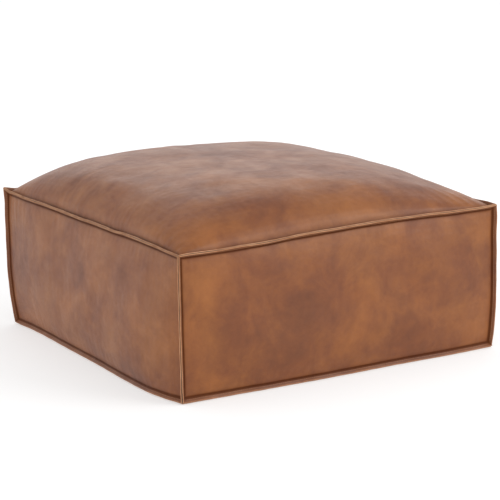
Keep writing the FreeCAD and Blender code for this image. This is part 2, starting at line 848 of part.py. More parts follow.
def build():
    """Makes every sub-part and returns those that are written out."""
    made = [side_panel(index, side) for index, side in enumerate(SIDES)]
    made.append(top_panel())
    made += [base_panel(side) for side in ("front", "back")]
    made += mirrored_pair(("zip_tape_front", "zip_tape_back"), zip_tape)
    made += mirrored_pair(("zip_coil_front", "zip_coil_back"), zip_coil)
    made += [end_tabs(), *zip_stops(), zip_slider(), zip_pull()]
    made.append(lip_threads("top_seam_threads", "top", "seam_high", up=True))
    made.append(lip_threads("base_seam_threads", "base", "seam_low", up=False))
    made += [corner_threads(), zip_threads()]
    made += [liner_case(), liner_base()]
    made += [base_foam(), foam_slab("core_foam_block", "dims.base_foam_top", "dims.core_top")]
    made += [foam_slab("comfort_foam_slab", "dims.core_top", "dims.comfort_top")]
    made += fibre()
    return made


def check_and_write(parts):
    doc.recompute()
    for thing in doc.Objects:
        if "Invalid" in thing.State or "Error" in thing.State:
            raise RuntimeError(f"{thing.Label} failed: {thing.State}")
    os.makedirs("parts", exist_ok=True)
    for part in parts:
        if part.Shape.isNull() or not part.Shape.isValid() or not part.Shape.Solids:
            raise RuntimeError(f"{part.Label} has no valid solid")
        part.Shape.exportStep(os.path.join("parts", part.Label + ".step"))
        box = part.Shape.BoundBox
        volume = part.Shape.Volume / 1000
        print(f"{part.Label:22s} {len(part.Shape.Solids)} solid(s) {volume:10.1f} cm3", box)


check_and_write(build())
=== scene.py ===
import math

import bmesh
import bpy
import numpy as np
from mathutils import Matrix, Vector

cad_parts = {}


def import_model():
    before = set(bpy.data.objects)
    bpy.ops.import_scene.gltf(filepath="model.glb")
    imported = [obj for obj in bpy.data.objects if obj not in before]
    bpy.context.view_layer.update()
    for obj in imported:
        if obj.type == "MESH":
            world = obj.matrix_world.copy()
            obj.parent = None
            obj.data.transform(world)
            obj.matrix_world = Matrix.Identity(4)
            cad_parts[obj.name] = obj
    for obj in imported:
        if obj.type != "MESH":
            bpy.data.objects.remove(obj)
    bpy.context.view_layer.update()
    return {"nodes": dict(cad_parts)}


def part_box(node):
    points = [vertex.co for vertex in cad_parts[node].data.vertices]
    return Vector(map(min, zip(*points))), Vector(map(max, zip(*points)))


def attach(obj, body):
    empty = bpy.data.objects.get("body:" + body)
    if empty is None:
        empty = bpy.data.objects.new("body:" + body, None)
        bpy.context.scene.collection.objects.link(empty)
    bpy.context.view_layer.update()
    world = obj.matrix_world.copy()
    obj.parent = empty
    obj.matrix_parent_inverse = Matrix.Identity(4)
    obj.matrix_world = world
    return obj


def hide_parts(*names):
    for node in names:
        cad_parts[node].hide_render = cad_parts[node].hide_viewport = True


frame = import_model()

# Lengths in this file are millimetres until a mesh is made, which is in metres.
MM = 0.001
BODY = "case"

nodes = frame["nodes"]

# ---- sizes that come from the CAD ----

LIP_RISE = 8.5  # how far the CAD's lips stand out along each face
top_low, top_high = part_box("top_panel")
base_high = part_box("base_panel_front")[1]
HALF_TOP = top_high.x / MM - LIP_RISE + 0.15  # from the middle to the top seam
HALF_BASE = base_high.x / MM - LIP_RISE + 0.5  # from the middle to the base seam
SEAM_HIGH = top_low.z / MM
SEAM_LOW = base_high.z / MM

# ---- sizes of the sewn case ----

LIP = 12.0  # length of a lip past the seam
FLOOR_GAP = 0.25  # from the floor to the underside of the base
BASE_FLARE = math.radians(57)  # the base flange hangs out and down
CROWN = 130.8  # height over the top seam, before it flattens
CROWN_SOFT = (70.0, 45.0)  # the crown flattens above this height, over this much
ACROSS, UP_SIDE = 96, 36  # cells of the coarse panels, before they are refined
SIDES = range(4)  # front, right, back, left


# ---- small mathematics ----


def smooth(x):
    x = np.clip(x, 0.0, 1.0)
    return x * x * (3 - 2 * x)


def unit(v):
    return v / np.maximum(np.linalg.norm(v, axis=-1, keepdims=True), 1e-12)


def spread(count):
    """Points from -1 to 1, closer together near both ends."""
    t = np.linspace(-1, 1, count + 1)
    return 1.25 * t - 0.25 * t**3


def ripple(s, seed, scale=1.0, terms=6):
    """A smooth random wave along a line, from about -1 to 1, whose waves are 50 to 220 mm long."""
    draw = np.random.default_rng(seed)
    total = np.zeros_like(s, dtype=float)
    for _ in range(terms):
        wave = draw.uniform(50, 220) * scale
        total += draw.uniform(0.4, 1.0) * np.sin(2 * np.pi * (s / wave + draw.uniform()))
    return total / (0.45 * terms)


def turned(points, quarter):
    """Points of the front side, carried round to another side."""
    c, s = ((1, 0), (0, 1), (-1, 0), (0, -1))[quarter % 4]
    x, y, z = points[..., 0], points[..., 1], points[..., 2]
    return np.stack([c * x - s * y, s * x + c * y, z], -1)


def vector(x, y, z):
    return np.stack(np.broadcast_arrays(x, y, z), -1).astype(float)


UP, DOWN = np.array([0.0, 0.0, 1.0]), np.array([0.0, 0.0, -1.0])
OUTWARD = [turned(np.array([0.0, -1.0, 0.0]), side) for side in SIDES]


def distances(line):
    """How far along a line each of its points is."""
    return np.concatenate([[0], np.cumsum(np.linalg.norm(np.diff(line, axis=0), axis=1))])


def refine(grid):
    """Twice the cells each way, along smooth curves through the old points."""

    def along(g):
        before, after = 2 * g[:1] - g[1:2], 2 * g[-1:] - g[-2:-1]
        p = np.concatenate([before, g, after])
        middle = (-p[:-3] + 9 * p[1:-2] + 9 * p[2:-1] - p[3:]) / 16
        out = np.empty((2 * len(g) - 1, *g.shape[1:]))
        out[0::2], out[1::2] = g, middle
        return out

    return along(along(grid).swapaxes(0, 1)).swapaxes(0, 1)


def normals(grid, outward):
    """Unit normals of a grid of points, on the side that outward points to."""
    a, b = np.gradient(grid, axis=0), np.gradient(grid, axis=1)
    n = unit(np.cross(a, b))
    return n * np.sign((n * outward).sum(-1, keepdims=True))


# ---- seams: where they run, and how far and which way their flanges stand out ----

# Sewing and filling pull the seams a little out of true. Each row has (place along the seam, how far), seen
# from outside, from -1 at its left-hand corner to 1 at its right-hand one.
TOP_RISE = (
    ((-1, 3), (-0.6, 2.5), (-0.25, 8.5), (0.4, 11.5), (0.75, 8.5), (1, 10)),
    ((-1, 10), (-0.7, 5), (0, 4), (1, 3)),
    ((-1, 3), (0, 4), (1, 2)),
    ((-1, 2), (-0.5, 2.5), (0.2, 3), (0.65, 6), (1, 3)),
)
TOP_PULL = (  # how far a top seam is drawn in
    ((-1, 0), (0, 2.5), (0.6, 7), (1, 0)),
    ((-1, 0), (0.1, 4), (1, 0)),
    ((-1, 0), (-0.2, 5), (1, 0)),
    ((-1, 0), (-0.1, 3.5), (1, 0)),
)
TOP_FLARE = (  # degrees above level
    ((-1, 38), (1, 38)),
    ((-1, 64), (-0.7, 56), (-0.3, 40), (1, 38)),
    ((-1, 38), (1, 38)),
    ((-1, 42), (0, 38), (1, 38)),
)
BASE_PUSH = (  # how far a base seam bows out
    ((-1, 1), (-0.7, 4), (-0.2, 9), (0.4, 7), (0.8, 8), (1, 5)),
    ((-1, 5), (0, 6), (1, 2)),
    ((-1, 2), (0, 5), (1, 0)),
    ((-1, 0), (-0.8, -4), (-0.35, 3), (0.1, 10), (0.5, 20), (0.73, 21), (0.9, 12), (1, 2)),
)
# from 0 at the base to 1 at the top, how far an upright seam stands out past the line between its ends
CORNER_PUSH = (
    ((0, 0), (0.15, 3.5), (0.4, 4.2), (0.7, 1.4), (1, 0)),
    ((0, 0), (0.4, 4), (1, 0)),
    ((0, 0), (0.15, 5.5), (0.4, 8.0), (0.65, 5.5), (0.9, 2.0), (1, 0)),
    ((0, 0), (0.5, 1.5), (1, 0)),
)
EARS = ((0.60, 0.66), (0.8, 0.6), (0.86, 1.15), (0.55, 0.45))  # a corner's tip: out along each face, and up


def through(places, knots):
    """A smooth curve through the knots."""
    x, y = (np.array(v, float) for v in zip(*knots))
    slope = np.gradient(y, x) if len(x) > 2 else np.full(2, (y[1] - y[0]) / (x[1] - x[0]))
    slope[[0, -1]] *= 0.5
    k = np.clip(np.searchsorted(x, places) - 1, 0, len(x) - 2)
    step = x[k + 1] - x[k]
    t = (places - x[k]) / step
    return (
        y[k] * (1 + 2 * t) * (1 - t) ** 2
        + y[k + 1] * t * t * (3 - 2 * t)
        + slope[k] * step * t * (1 - t) ** 2
        - slope[k + 1] * step * t * t * (1 - t)
    )


def corner_tip(corner, mirrored=1):
    out, up = EARS[corner]
    return LIP * vector(out * mirrored, -out, up)


def corner_share(distance, reach=24.0):
    return smooth(1 - distance / reach)[..., None]


def top_seam(side, a, rough=1.0):
    """(points on the seam, tips' offsets from it) for a from -1 to 1, left to right as seen from outside."""
    s = a * HALF_TOP
    fade = rough * smooth((1 - np.abs(a)) * 12)
    y = -HALF_TOP + through(a, TOP_PULL[side]) + 0.6 * fade * ripple(s, 10 + side, 1.6)
    z = SEAM_HIGH + through(a, TOP_RISE[side]) + 0.5 * fade * ripple(s, 20 + side, 1.6)
    angle = np.radians(through(a, TOP_FLARE[side])) + 0.10 * fade * ripple(s, 30 + side, 1.2)
    along = 0.05 * fade * ripple(s, 40 + side, 0.9)
    out = LIP * vector(along, -np.cos(angle), np.sin(angle))
    ear = np.where((a > 0)[:, None], corner_tip(side), corner_tip((side - 1) % 4, -1))
    share = corner_share(HALF_TOP - np.abs(s))
    return turned(vector(s, y, z), side), turned(out * (1 - share) + ear * share, side)


def base_seam(side, a, rough=1.0):
    s = a * HALF_BASE
    fade = rough * smooth((1 - np.abs(a)) * 12)
    y = -HALF_BASE - through(a, BASE_PUSH[side]) + 0.6 * fade * ripple(s, 50 + side, 1.4)
    after, before = BASE_PUSH[(side + 1) % 4][0][1], BASE_PUSH[(side - 1) % 4][-1][1]
    x = s + after * ((1 + a) / 2) ** 4 - before * ((1 - a) / 2) ** 4
    angle = BASE_FLARE + 0.09 * fade * ripple(s, 60 + side, 0.7)
    out = LIP * vector(0 * s, -np.cos(angle), -np.sin(angle))
    foot = LIP * vector(0.56 * np.sign(a), -0.56, -0.78)
    share = corner_share(HALF_BASE - np.abs(s))
    return turned(vector(x, y, SEAM_LOW + 0 * s), side), turned(out * (1 - share) + foot * share, side)


def corner_seam(corner, v, rough=1.0):
    """The upright seam at the right-hand end of a side; v runs from 0 at the base to 1 at the top."""
    own, other = BASE_PUSH[corner][-1][1], BASE_PUSH[(corner + 1) % 4][0][1]
    low_end = np.array([HALF_BASE + other, -HALF_BASE - own, SEAM_LOW])
    high_end = np.array([HALF_TOP, -HALF_TOP, SEAM_HIGH + TOP_RISE[corner][-1][1]])
    height = (SEAM_HIGH - SEAM_LOW) * v
    fade = rough * smooth(np.minimum(v, 1 - v) * 6)
    push = through(v, CORNER_PUSH[corner]) + 0.6 * fade * ripple(height, 70 + corner)
    line = low_end + (high_end - low_end) * v[:, None] + push[:, None] * np.array([0.7071, -0.7071, 0])
    lean = 0.08 * fade * ripple(height, 80 + corner, 1.2)
    out = LIP * vector(np.cos(math.pi / 4 + lean), -np.sin(math.pi / 4 + lean), 0)
    ear, foot = corner_tip(corner), LIP * np.array([0.56, -0.56, -0.78])
    high, low = corner_share(SEAM_HIGH - SEAM_LOW - height), corner_share(height)
    out = out * (1 - high - low) + ear * high + foot * low
    return turned(line, corner), turned(out, corner)


# ---- panels, before the leather is let settle ----


def coons(low, high, left, right):
    """A surface across four curves: low and high run along the columns, left and right along the rows."""
    # the curves' own spacing sets the weights, so the cells keep the spacing of the edges
    r = np.linalg.norm(left - left[0], axis=-1) / np.linalg.norm(left[-1] - left[0])
    c = np.linalg.norm(low - low[0], axis=-1) / np.linalg.norm(low[-1] - low[0])
    s, t = r[:, None, None], c[None, :, None]
    flat = (1 - s) * low[None] + s * high[None] + (1 - t) * left[:, None] + t * right[:, None]
    return flat - (
        (1 - s) * (1 - t) * low[0] + (1 - s) * t * low[-1] + s * (1 - t) * high[0] + s * t * high[-1]
    )


def stretched_over(edges, reach=32.0):
    """A surface across the seams that edges(roughness) gives, whose small waves die away from the seams."""
    calm = edges(0.0)
    low, high, left, right = (rough - still for rough, still in zip(edges(1.0), calm))
    up = np.linalg.norm(calm[2] - calm[2][0], axis=-1)[:, None, None]
    across = np.linalg.norm(calm[0] - calm[0][0], axis=-1)[None, :, None]
    fall = lambda distance: np.exp(-((distance / reach) ** 2))
    grid = coons(*calm)
    grid += fall(up) * low[None] + fall(up.max() - up) * high[None]
    return grid + fall(across) * left[:, None] + fall(across.max() - across) * right[:, None]


def top_surface(count):
    a = spread(count)

    def edges(rough):
        front, right, back, left = (top_seam(side, a, rough)[0] for side in SIDES)
        return front, back[::-1], left[::-1], right

    grid = stretched_over(edges)
    u, v = np.meshgrid(a, a)
    puff = np.sqrt(1 - np.abs(u) ** 2.5) * np.sqrt(1 - np.abs(v) ** 2.5)
    rise = CROWN * puff * (1 - 0.2 * u)
    start, over = CROWN_SOFT
    rise = np.where(rise > start, start + over * np.tanh((rise - start) / over), rise)
    rise = rise - 6.0 * np.exp(-((u - 0.80) ** 2 + (v - 0.30) ** 2) / 0.10) * puff
    grid[..., 2] += rise
    return grid


def side_surface(side, across, up, bulge=17.0):
    a, v = spread(across), (1 + spread(up)) / 2
    grid = stretched_over(
        lambda rough: (
            base_seam(side, a, rough)[0],
            top_seam(side, a, rough)[0],
            corner_seam((side - 1) % 4, v, rough)[0],
            corner_seam(side, v, rough)[0],
        )
    )
    x, y = np.meshgrid(a, 2 * v - 1)
    puff = (1 - np.abs(x) ** 3.2) ** 0.6 * (1 - np.abs(y) ** 2.8) ** 0.55
    push = vector(0 * puff, -bulge * puff, 0)
    return grid + turned(push, side)


# ---- the leather settles: one cloth simulation of the whole case, held at its seams ----


def weld(grids):
    """(points, one grid of point numbers per grid): points that coincide become one."""
    every = np.concatenate([g.reshape(-1, 3) for g in grids])
    _, first, number = np.unique(np.round(every, 3), axis=0, return_index=True, return_inverse=True)
    number = np.argsort(np.argsort(first))[number.reshape(-1)]
    points = every[np.sort(first)]
    out, start = [], 0
    for g in grids:
        count = g.shape[0] * g.shape[1]
        out.append(number[start : start + count].reshape(g.shape[:2]))
        start += count
    return points, out


def cells(number):
    """Quads of a grid of point numbers."""
    return np.stack([number[:-1, :-1], number[:-1, 1:], number[1:, 1:], number[1:, :-1]], -1).reshape(-1, 4)


def rim(number):
    """The numbers round a grid, once round."""
    return np.concatenate([number[0, :-1], number[:-1, -1], number[-1, :0:-1], number[:0:-1, 0]])


def settle(grids, cap=7.0, frames=20):
    """The grids after the filling has pushed against the leather. No point moves more than cap."""
    points, numbers = weld(grids)
    floor_ring = np.concatenate([n[0, :-1] for n in numbers[1:]])
    faces = [c.tolist() for n in numbers for c in cells(n)] + [floor_ring[::-1].tolist()]
    mesh = bpy.data.meshes.new("settling")
    mesh.from_pydata((points * MM).tolist(), [], faces)
    mesh.validate()
    obj = bpy.data.objects.new("settling", mesh)
    bpy.context.scene.collection.objects.link(obj)
    held = np.unique(np.concatenate([rim(n) for n in numbers]))
    obj.vertex_groups.new(name="seams").add(held.tolist(), 1.0, "ADD")
    cloth = obj.modifiers.new("Cloth", "CLOTH")
    s = cloth.settings
    s.quality = 6
    s.mass = 0.35
    s.tension_stiffness = s.compression_stiffness = 80
    s.shear_stiffness = 20
    s.bending_stiffness = 20
    s.tension_damping = s.compression_damping = s.shear_damping = 15
    s.bending_damping = 2
    s.vertex_group_mass = "seams"
    s.use_pressure = True
    s.uniform_pressure_force = 1.0
    s.effector_weights.gravity = 0
    cloth.collision_settings.use_collision = False
    cloth.point_cache.frame_start, cloth.point_cache.frame_end = 1, frames
    scene = bpy.context.scene
    for number in range(1, frames + 1):
        scene.frame_set(number)
    result = obj.evaluated_get(bpy.context.evaluated_depsgraph_get()).to_mesh()
    moved = np.empty(len(result.vertices) * 3)
    result.vertices.foreach_get("co", moved)
    moved = moved.reshape(-1, 3) / MM
    scene.frame_set(1)
    bpy.data.objects.remove(obj)
    bpy.data.meshes.remove(mesh)
    step = moved - points
    length = np.linalg.norm(step, axis=1, keepdims=True)
    step *= cap * np.tanh(length / cap) / np.maximum(length, 1e-9)
    return [(points + step)[n] for n in numbers]


coarse = [top_surface(ACROSS)] + [side_surface(side, ACROSS, UP_SIDE) for side in SIDES]
coarse = settle(coarse)

# ---- meshes ----


def make_object(name, points, faces, materials, face_material=None, point_values=None):
    mesh = bpy.data.meshes.new(name)
    mesh.from_pydata((np.asarray(points) * MM).tolist(), [], [list(map(int, f)) for f in faces])
    for m in materials:
        mesh.materials.append(m)
    if face_material is not None:
        mesh.polygons.foreach_set("material_index", np.asarray(face_material, np.int32))
    for key, values in (point_values or {}).items():
        layer = mesh.attributes.new(key, "FLOAT", "POINT")
        layer.data.foreach_set("value", np.asarray(values, np.float32))
    mesh.polygons.foreach_set("use_smooth", [True] * len(mesh.polygons))
    mesh.update()
    obj = bpy.data.objects.new(name, mesh)
    bpy.context.scene.collection.objects.link(obj)
    return obj


def recalculated(obj):
    """The same piece with all its faces turned outwards."""
    work = bmesh.new()
    work.from_mesh(obj.data)
    bmesh.ops.recalc_face_normals(work, faces=work.faces)
    work.to_mesh(obj.data)
    work.free()
    return obj


# ---- hides: skin, lip and raw edge as one closed sheet ----

EDGE_COUNT, UP_COUNT = 2 * ACROSS, 2 * UP_SIDE
along = spread(EDGE_COUNT)
upward = (1 + spread(UP_COUNT)) / 2
HIDE = 1.6  # thickness of the hide away from its lips
LEAF = 2.1  # a lip's thickness


def chain(*runs):
    """Seam runs joined end to end, once round: (points, offsets)."""
    return tuple(np.concatenate([run[part][:-1] for run in runs]) for part in (0, 1))


def backwards(run):
    return run[0][::-1], run[1][::-1]


def top_ring():
    return chain(*(top_seam(side, along) for side in SIDES))


def side_ring(side):
    return chain(
        base_seam(side, along),
        corner_seam(side, upward),
        backwards(top_seam(side, along)),
        backwards(corner_seam((side - 1) % 4, upward)),
    )


def flange_normal(points, out, centre):
    """Unit normals of a flange, on the side where the panel is."""
    n = unit(np.cross(np.roll(points, -1, 0) - np.roll(points, 1, 0), out))
    return n * np.sign((n * (centre - points)).sum())


def puckers(distance, s, seed, height, reach=34.0):
    """Small gathers that run in from a seam."""
    wave = np.sin(2 * np.pi * (s / 25 + 0.5 * ripple(s, seed, 0.9)))
    swell = 0.25 + 0.75 * np.clip(ripple(s, seed + 1, 1.3), 0, 1)
    reach = reach * (1 + 0.35 * np.clip(ripple(s, seed + 2, 0.5), -1, 1))
    return height * swell * wave * np.exp(-((distance / reach) ** 2)) * (1 - np.exp(-((distance / 4) ** 2)))


def dents(x, y, seed, height, shortest=150.0, longest=420.0, terms=7):
    """A slow random wave over a surface."""
    draw = np.random.default_rng(seed)
    total = np.zeros_like(x)
    for _ in range(terms):
        turn, wave = draw.uniform(0, 2 * np.pi), draw.uniform(shortest, longest)
        total += np.sin(2 * np.pi * ((x * np.cos(turn) + y * np.sin(turn)) / wave + draw.uniform()))
    return height * total / np.sqrt(terms)


def creased_top(grid):
    x, y = grid[..., 0], grid[..., 1]
    lift = np.zeros_like(x)
    for side, (d, s) in enumerate(((y, x), (-x, y), (-y, -x), (x, -y))):
        lift += puckers(HALF_TOP + d, s, 100 + 10 * side, 0.45)
    near = np.exp(-(((x - 380) / 90) ** 2) - ((y + 400) / 70) ** 2)
    lift += 0.4 * near * np.sin(2 * np.pi * (x + 0.5 * y) / 27)
    inside = smooth(np.minimum(HALF_TOP - np.abs(x), HALF_TOP - np.abs(y)) / 60)
    lift += inside * (dents(x, y, 201, 0.9) + dents(x, y, 202, 0.35, 50, 120))
    return grid + normals(grid, UP) * lift[..., None]


def creased_side(grid, side):
    flat = turned(grid, -side)
    x, z = flat[..., 0], flat[..., 2]
    high, low = SEAM_HIGH - z, z - SEAM_LOW
    half = HALF_BASE + (HALF_TOP - HALF_BASE) * low / (SEAM_HIGH - SEAM_LOW)
    lift = puckers(high, x, 300 + 10 * side, 0.4) + puckers(low, x, 340 + 10 * side, 0.4)
    lift += puckers(half - x, z, 380 + 10 * side, 0.35) + puckers(half + x, z, 420 + 10 * side, 0.35)
    if side == 3:
        near = smooth((x + half) / 12) * np.exp(-(((x + half) / 70) ** 2) - (high / 60) ** 2)
        lift += 0.9 * near * smooth(high / 10) * np.sin(2 * np.pi * (x - 0.15 * high) / 24)
    inside = smooth(np.minimum(half - np.abs(x), np.minimum(high, low)) / 50)
    lift += inside * (dents(x, z, 210 + side, 1.1) + dents(x, z, 220 + side, 0.35, 50, 120))
    return grid + normals(grid, OUTWARD[side]) * lift[..., None]


# rows of a lip, from its root to its tip and back inside: (share of the lip's length, height above the
# middle of the flange as a share of the hide's thickness, material of the band that ends here)
LEATHER_FACE, CUT_FACE, FLESH_FACE = 0, 1, 2
LIP_ROWS = (
    (0.20, 1.00, LEATHER_FACE),
    (0.40, 1.00, LEATHER_FACE),
    (0.60, 1.00, LEATHER_FACE),
    (0.80, 1.00, LEATHER_FACE),
    (0.93, 0.99, LEATHER_FACE),
    (0.985, 0.90, LEATHER_FACE),
    (1.00, 0.72, CUT_FACE),
    (1.005, 0.40, CUT_FACE),
    (0.995, 0.10, CUT_FACE),
    (0.93, 0.03, FLESH_FACE),
    (0.60, 0.03, FLESH_FACE),
    (0.25, 0.03, FLESH_FACE),
)


def strip_faces(one, other):
    """Quads between two closed rings of point numbers."""
    return np.stack([one, np.roll(one, -1), np.roll(other, -1), other], -1)


def hide_mesh(name, grid, ring, materials, seed, outward, lip_share=None):
    """A hide: its skin, the lip all round it (where lip_share is above 0), and its flesh side."""
    seam, out = ring
    centre = grid[grid.shape[0] // 2, grid.shape[1] // 2]
    n = flange_normal(seam, out, centre)
    share = np.ones(len(seam)) if lip_share is None else lip_share
    rows, columns = grid.shape[:2]
    skin_normal = normals(grid, outward)
    # near its edge the skin moves out to the lip's face
    index = np.arange(rows * columns).reshape(rows, columns)
    edge_points = rim(grid)
    near = np.full((rows, columns), 1e9)
    lean = np.zeros_like(grid)
    for depth in range(5):
        ring_index = rim(index[depth : rows - depth, depth : columns - depth])
        pick = ring_pick(rows, columns, depth)
        flat = ring_index
        gap = np.linalg.norm(grid.reshape(-1, 3)[flat] - edge_points[pick], axis=1)
        near.reshape(-1)[flat] = gap
        lean.reshape(-1, 3)[flat] = (n * share[:, None])[pick]
    weight = (1 - smooth(near / 8.0))[..., None]
    skin = grid + lean * LEAF * weight
    direction = unit(skin_normal * (1 - weight) + lean * weight + 1e-9)
    flesh = skin - direction * (HIDE + (LEAF - HIDE - 0.1) * weight)

    length = distances(seam)
    cut = 1 + 0.015 * ripple(length, seed, 0.4)
    from_corner = HALF_BASE - np.abs(seam[:, :2]).min(1)
    foot = np.exp(-(((seam[:, 2] - SEAM_LOW) / 26) ** 2) - (from_corner / 20) ** 2)
    splay = (0.3 + 0.9 * (0.5 + 0.5 * np.clip(ripple(length, seed + 1, 1.2), -1, 1)) + 1.2 * foot)[:, None]
    points = [skin.reshape(-1, 3)]
    # edge marks the lips and the skin by the seam: real wear at the lips' tips, and painted shade on the
    # lips
    edge_value = [np.exp(-np.where(near > 1e8, 60, near) / 9).reshape(-1)]
    # painted shade along each seam's valley, darkest at the lip's root and fading a few millimetres onto the
    # skin
    crease_shade = [np.exp(-((np.where(near > 1e8, 60, near) / 5.5) ** 2)).reshape(-1)]
    faces = [cells(index)]
    kinds = [np.full(len(faces[0]), LEATHER_FACE)]
    last, start = rim(index), rows * columns
    for f, h, kind in LIP_ROWS:
        row = seam + out * (f * cut * share)[:, None] + n * (LEAF * h + splay * f**2) * share[:, None]
        row[:, 2] = np.maximum(row[:, 2], FLOOR_GAP + 0.1 * (1 - h))
        number = np.arange(start, start + len(row))
        points.append(row)
        edge_value.append(np.full(len(row), 0.55 + 0.45 * f))
        crease_shade.append(np.full(len(row), math.exp(-((f / 0.3) ** 2))))
        faces.append(strip_faces(last, number))
        kinds.append(np.full(len(row), kind))
        last, start = number, start + len(row)
    points.append(flesh.reshape(-1, 3))
    inner = index + start
    edge_value.append(np.zeros(rows * columns))
    crease_shade.append(np.zeros(rows * columns))
    faces.append(strip_faces(last, rim(inner)))
    faces.append(cells(inner)[:, ::-1])
    kinds += [np.full(len(seam), FLESH_FACE), np.full(len(faces[-1]), FLESH_FACE)]
    obj = make_object(
        name,
        np.concatenate(points),
        np.concatenate(faces),
        materials,
        np.concatenate(kinds),
        {"edge": np.concatenate(edge_value), "crease_shade": np.concatenate(crease_shade)},
    )
    face = seam + out * (0.42 * share)[:, None] + n * (LEAF + splay * 0.17)
    return recalculated(obj), face, n


def ring_pick(rows, columns, depth):
    """For each point of the ring that many cells inside a grid, the nearest point of its outer ring."""
    low = np.arange(depth, columns - 1 - depth)
    right = columns - 1 + np.arange(depth, rows - 1 - depth)
    high = columns - 1 + rows - 1 + np.arange(depth, columns - 1 - depth)
    left = 2 * (columns - 1) + rows - 1 + np.arange(depth, rows - 1 - depth)
    return np.concatenate([low, right, high, left])


def with_rim(grid, ring):
    """The grid with its outermost points put exactly on the seams."""
    grid = grid.copy()
    rows, columns = grid.shape[:2]
    index = np.arange(rows * columns).reshape(rows, columns)
    grid.reshape(-1, 3)[rim(index)] = ring[0]
    return grid


# ---- materials ----


class Nodes:
    """A short way to write a material's node tree."""

    def __init__(self, name):
        self.material = bpy.data.materials.new(name)
        self.material.use_nodes = True
        self.tree = self.material.node_tree
        self.tree.nodes.clear()
        self.shader = self.add("ShaderNodeBsdfPrincipled")
        output = self.add("ShaderNodeOutputMaterial")
        self.link(self.shader.outputs[0], output.inputs[0])
        self.place = self.add("ShaderNodeTexCoord").outputs["Object"]

    def add(self, kind, **values):
        node = self.tree.nodes.new(kind)
        for key, value in values.items():
            if isinstance(value, bpy.types.NodeSocket):
                self.link(value, node.inputs[key])
            elif key in node.inputs:
                node.inputs[key].default_value = value
            else:
                setattr(node, key, value)
        return node

    def link(self, a, b):
        self.tree.links.new(a, b)

    def stretched(self, scale):
        node = self.add("ShaderNodeMapping")
        node.inputs["Scale"].default_value = scale
        self.link(self.place, node.inputs["Vector"])
        return node.outputs[0]

    def noise(self, size, detail=3.0, roughness=0.55, distortion=0.0, place=None, offset=None):
        """Noise whose features are about size metres across, as a value."""
        node = self.add("ShaderNodeTexNoise", Scale=1 / size, Detail=detail, Roughness=roughness)
        node.inputs["Distortion"].default_value = distortion
        place = place or self.place
        if offset:
            shift = self.add("ShaderNodeVectorMath", operation="ADD")
            shift.inputs[1].default_value = offset
            self.link(place, shift.inputs[0])
            place = shift.outputs[0]
        self.link(place, node.inputs["Vector"])
        return node.outputs["Fac"]

    def voronoi(self, size, feature="DISTANCE_TO_EDGE", place=None):
        node = self.add("ShaderNodeTexVoronoi", feature=feature, Scale=1 / size)
        self.link(place or self.place, node.inputs["Vector"])
        return node.outputs["Distance"]

    def set(self, socket, value):
        """Links the socket to another node's, or gives it a constant."""
        if isinstance(value, bpy.types.NodeSocket):
            self.link(value, socket)
        else:
            colour = isinstance(value, tuple) and len(value) == 3
            socket.default_value = (*value, 1) if colour else value

    def math(self, operation, a, b):
        node = self.add("ShaderNodeMath", operation=operation)
        self.set(node.inputs[0], a)
        self.set(node.inputs[1], b)
        return node.outputs[0]

    def ramp(self, value, *stops):
        """stops are (position, colour)."""
        node = self.add("ShaderNodeValToRGB")
        points = node.color_ramp.elements
        while len(points) < len(stops):
            points.new(0.5)
        for point, (position, colour) in zip(points, stops):
            point.position = position
            point.color = (*colour, 1)
        self.link(value, node.inputs[0])
        return node.outputs[0]

    def fit(self, value, low, high, to_low=0.0, to_high=1.0):
        node = self.add("ShaderNodeMapRange", clamp=True)
        for socket, end in zip(node.inputs, (value, low, high, to_low, to_high)):
            self.set(socket, end)
        return node.outputs[0]

    def mix(self, share, a, b, blend="MIX"):
        node = self.add("ShaderNodeMix", data_type="RGBA", blend_type=blend)
        for number, value in ((0, share), (6, a), (7, b)):
            self.set(node.inputs[number], value)
        return node.outputs[2]

    def value(self, name):
        return self.add("ShaderNodeAttribute", attribute_name=name).outputs["Fac"]

    def bump(self, height, distance, strength=1.0, normal=None):
        node = self.add("ShaderNodeBump")
        node.inputs["Strength"].default_value = strength
        node.inputs["Distance"].default_value = distance
        self.link(height, node.inputs["Height"])
        if normal:
            self.link(normal, node.inputs["Normal"])
        return node.outputs[0]

    def finish(self, colour, roughness, normal=None, **others):
        if normal:
            self.link(normal, self.shader.inputs["Normal"])
        for key, value in {"Base_Color": colour, "Roughness": roughness, **others}.items():
            self.set(self.shader.inputs[key.replace("_", " ")], value)
        return self.material


def linear(r, g, b):
    """A screen colour, 0 to 255, as the shader wants it."""
    return tuple((c / 255 / 12.92) if c < 10.3 else ((c / 255 + 0.055) / 1.055) ** 2.4 for c in (r, g, b))


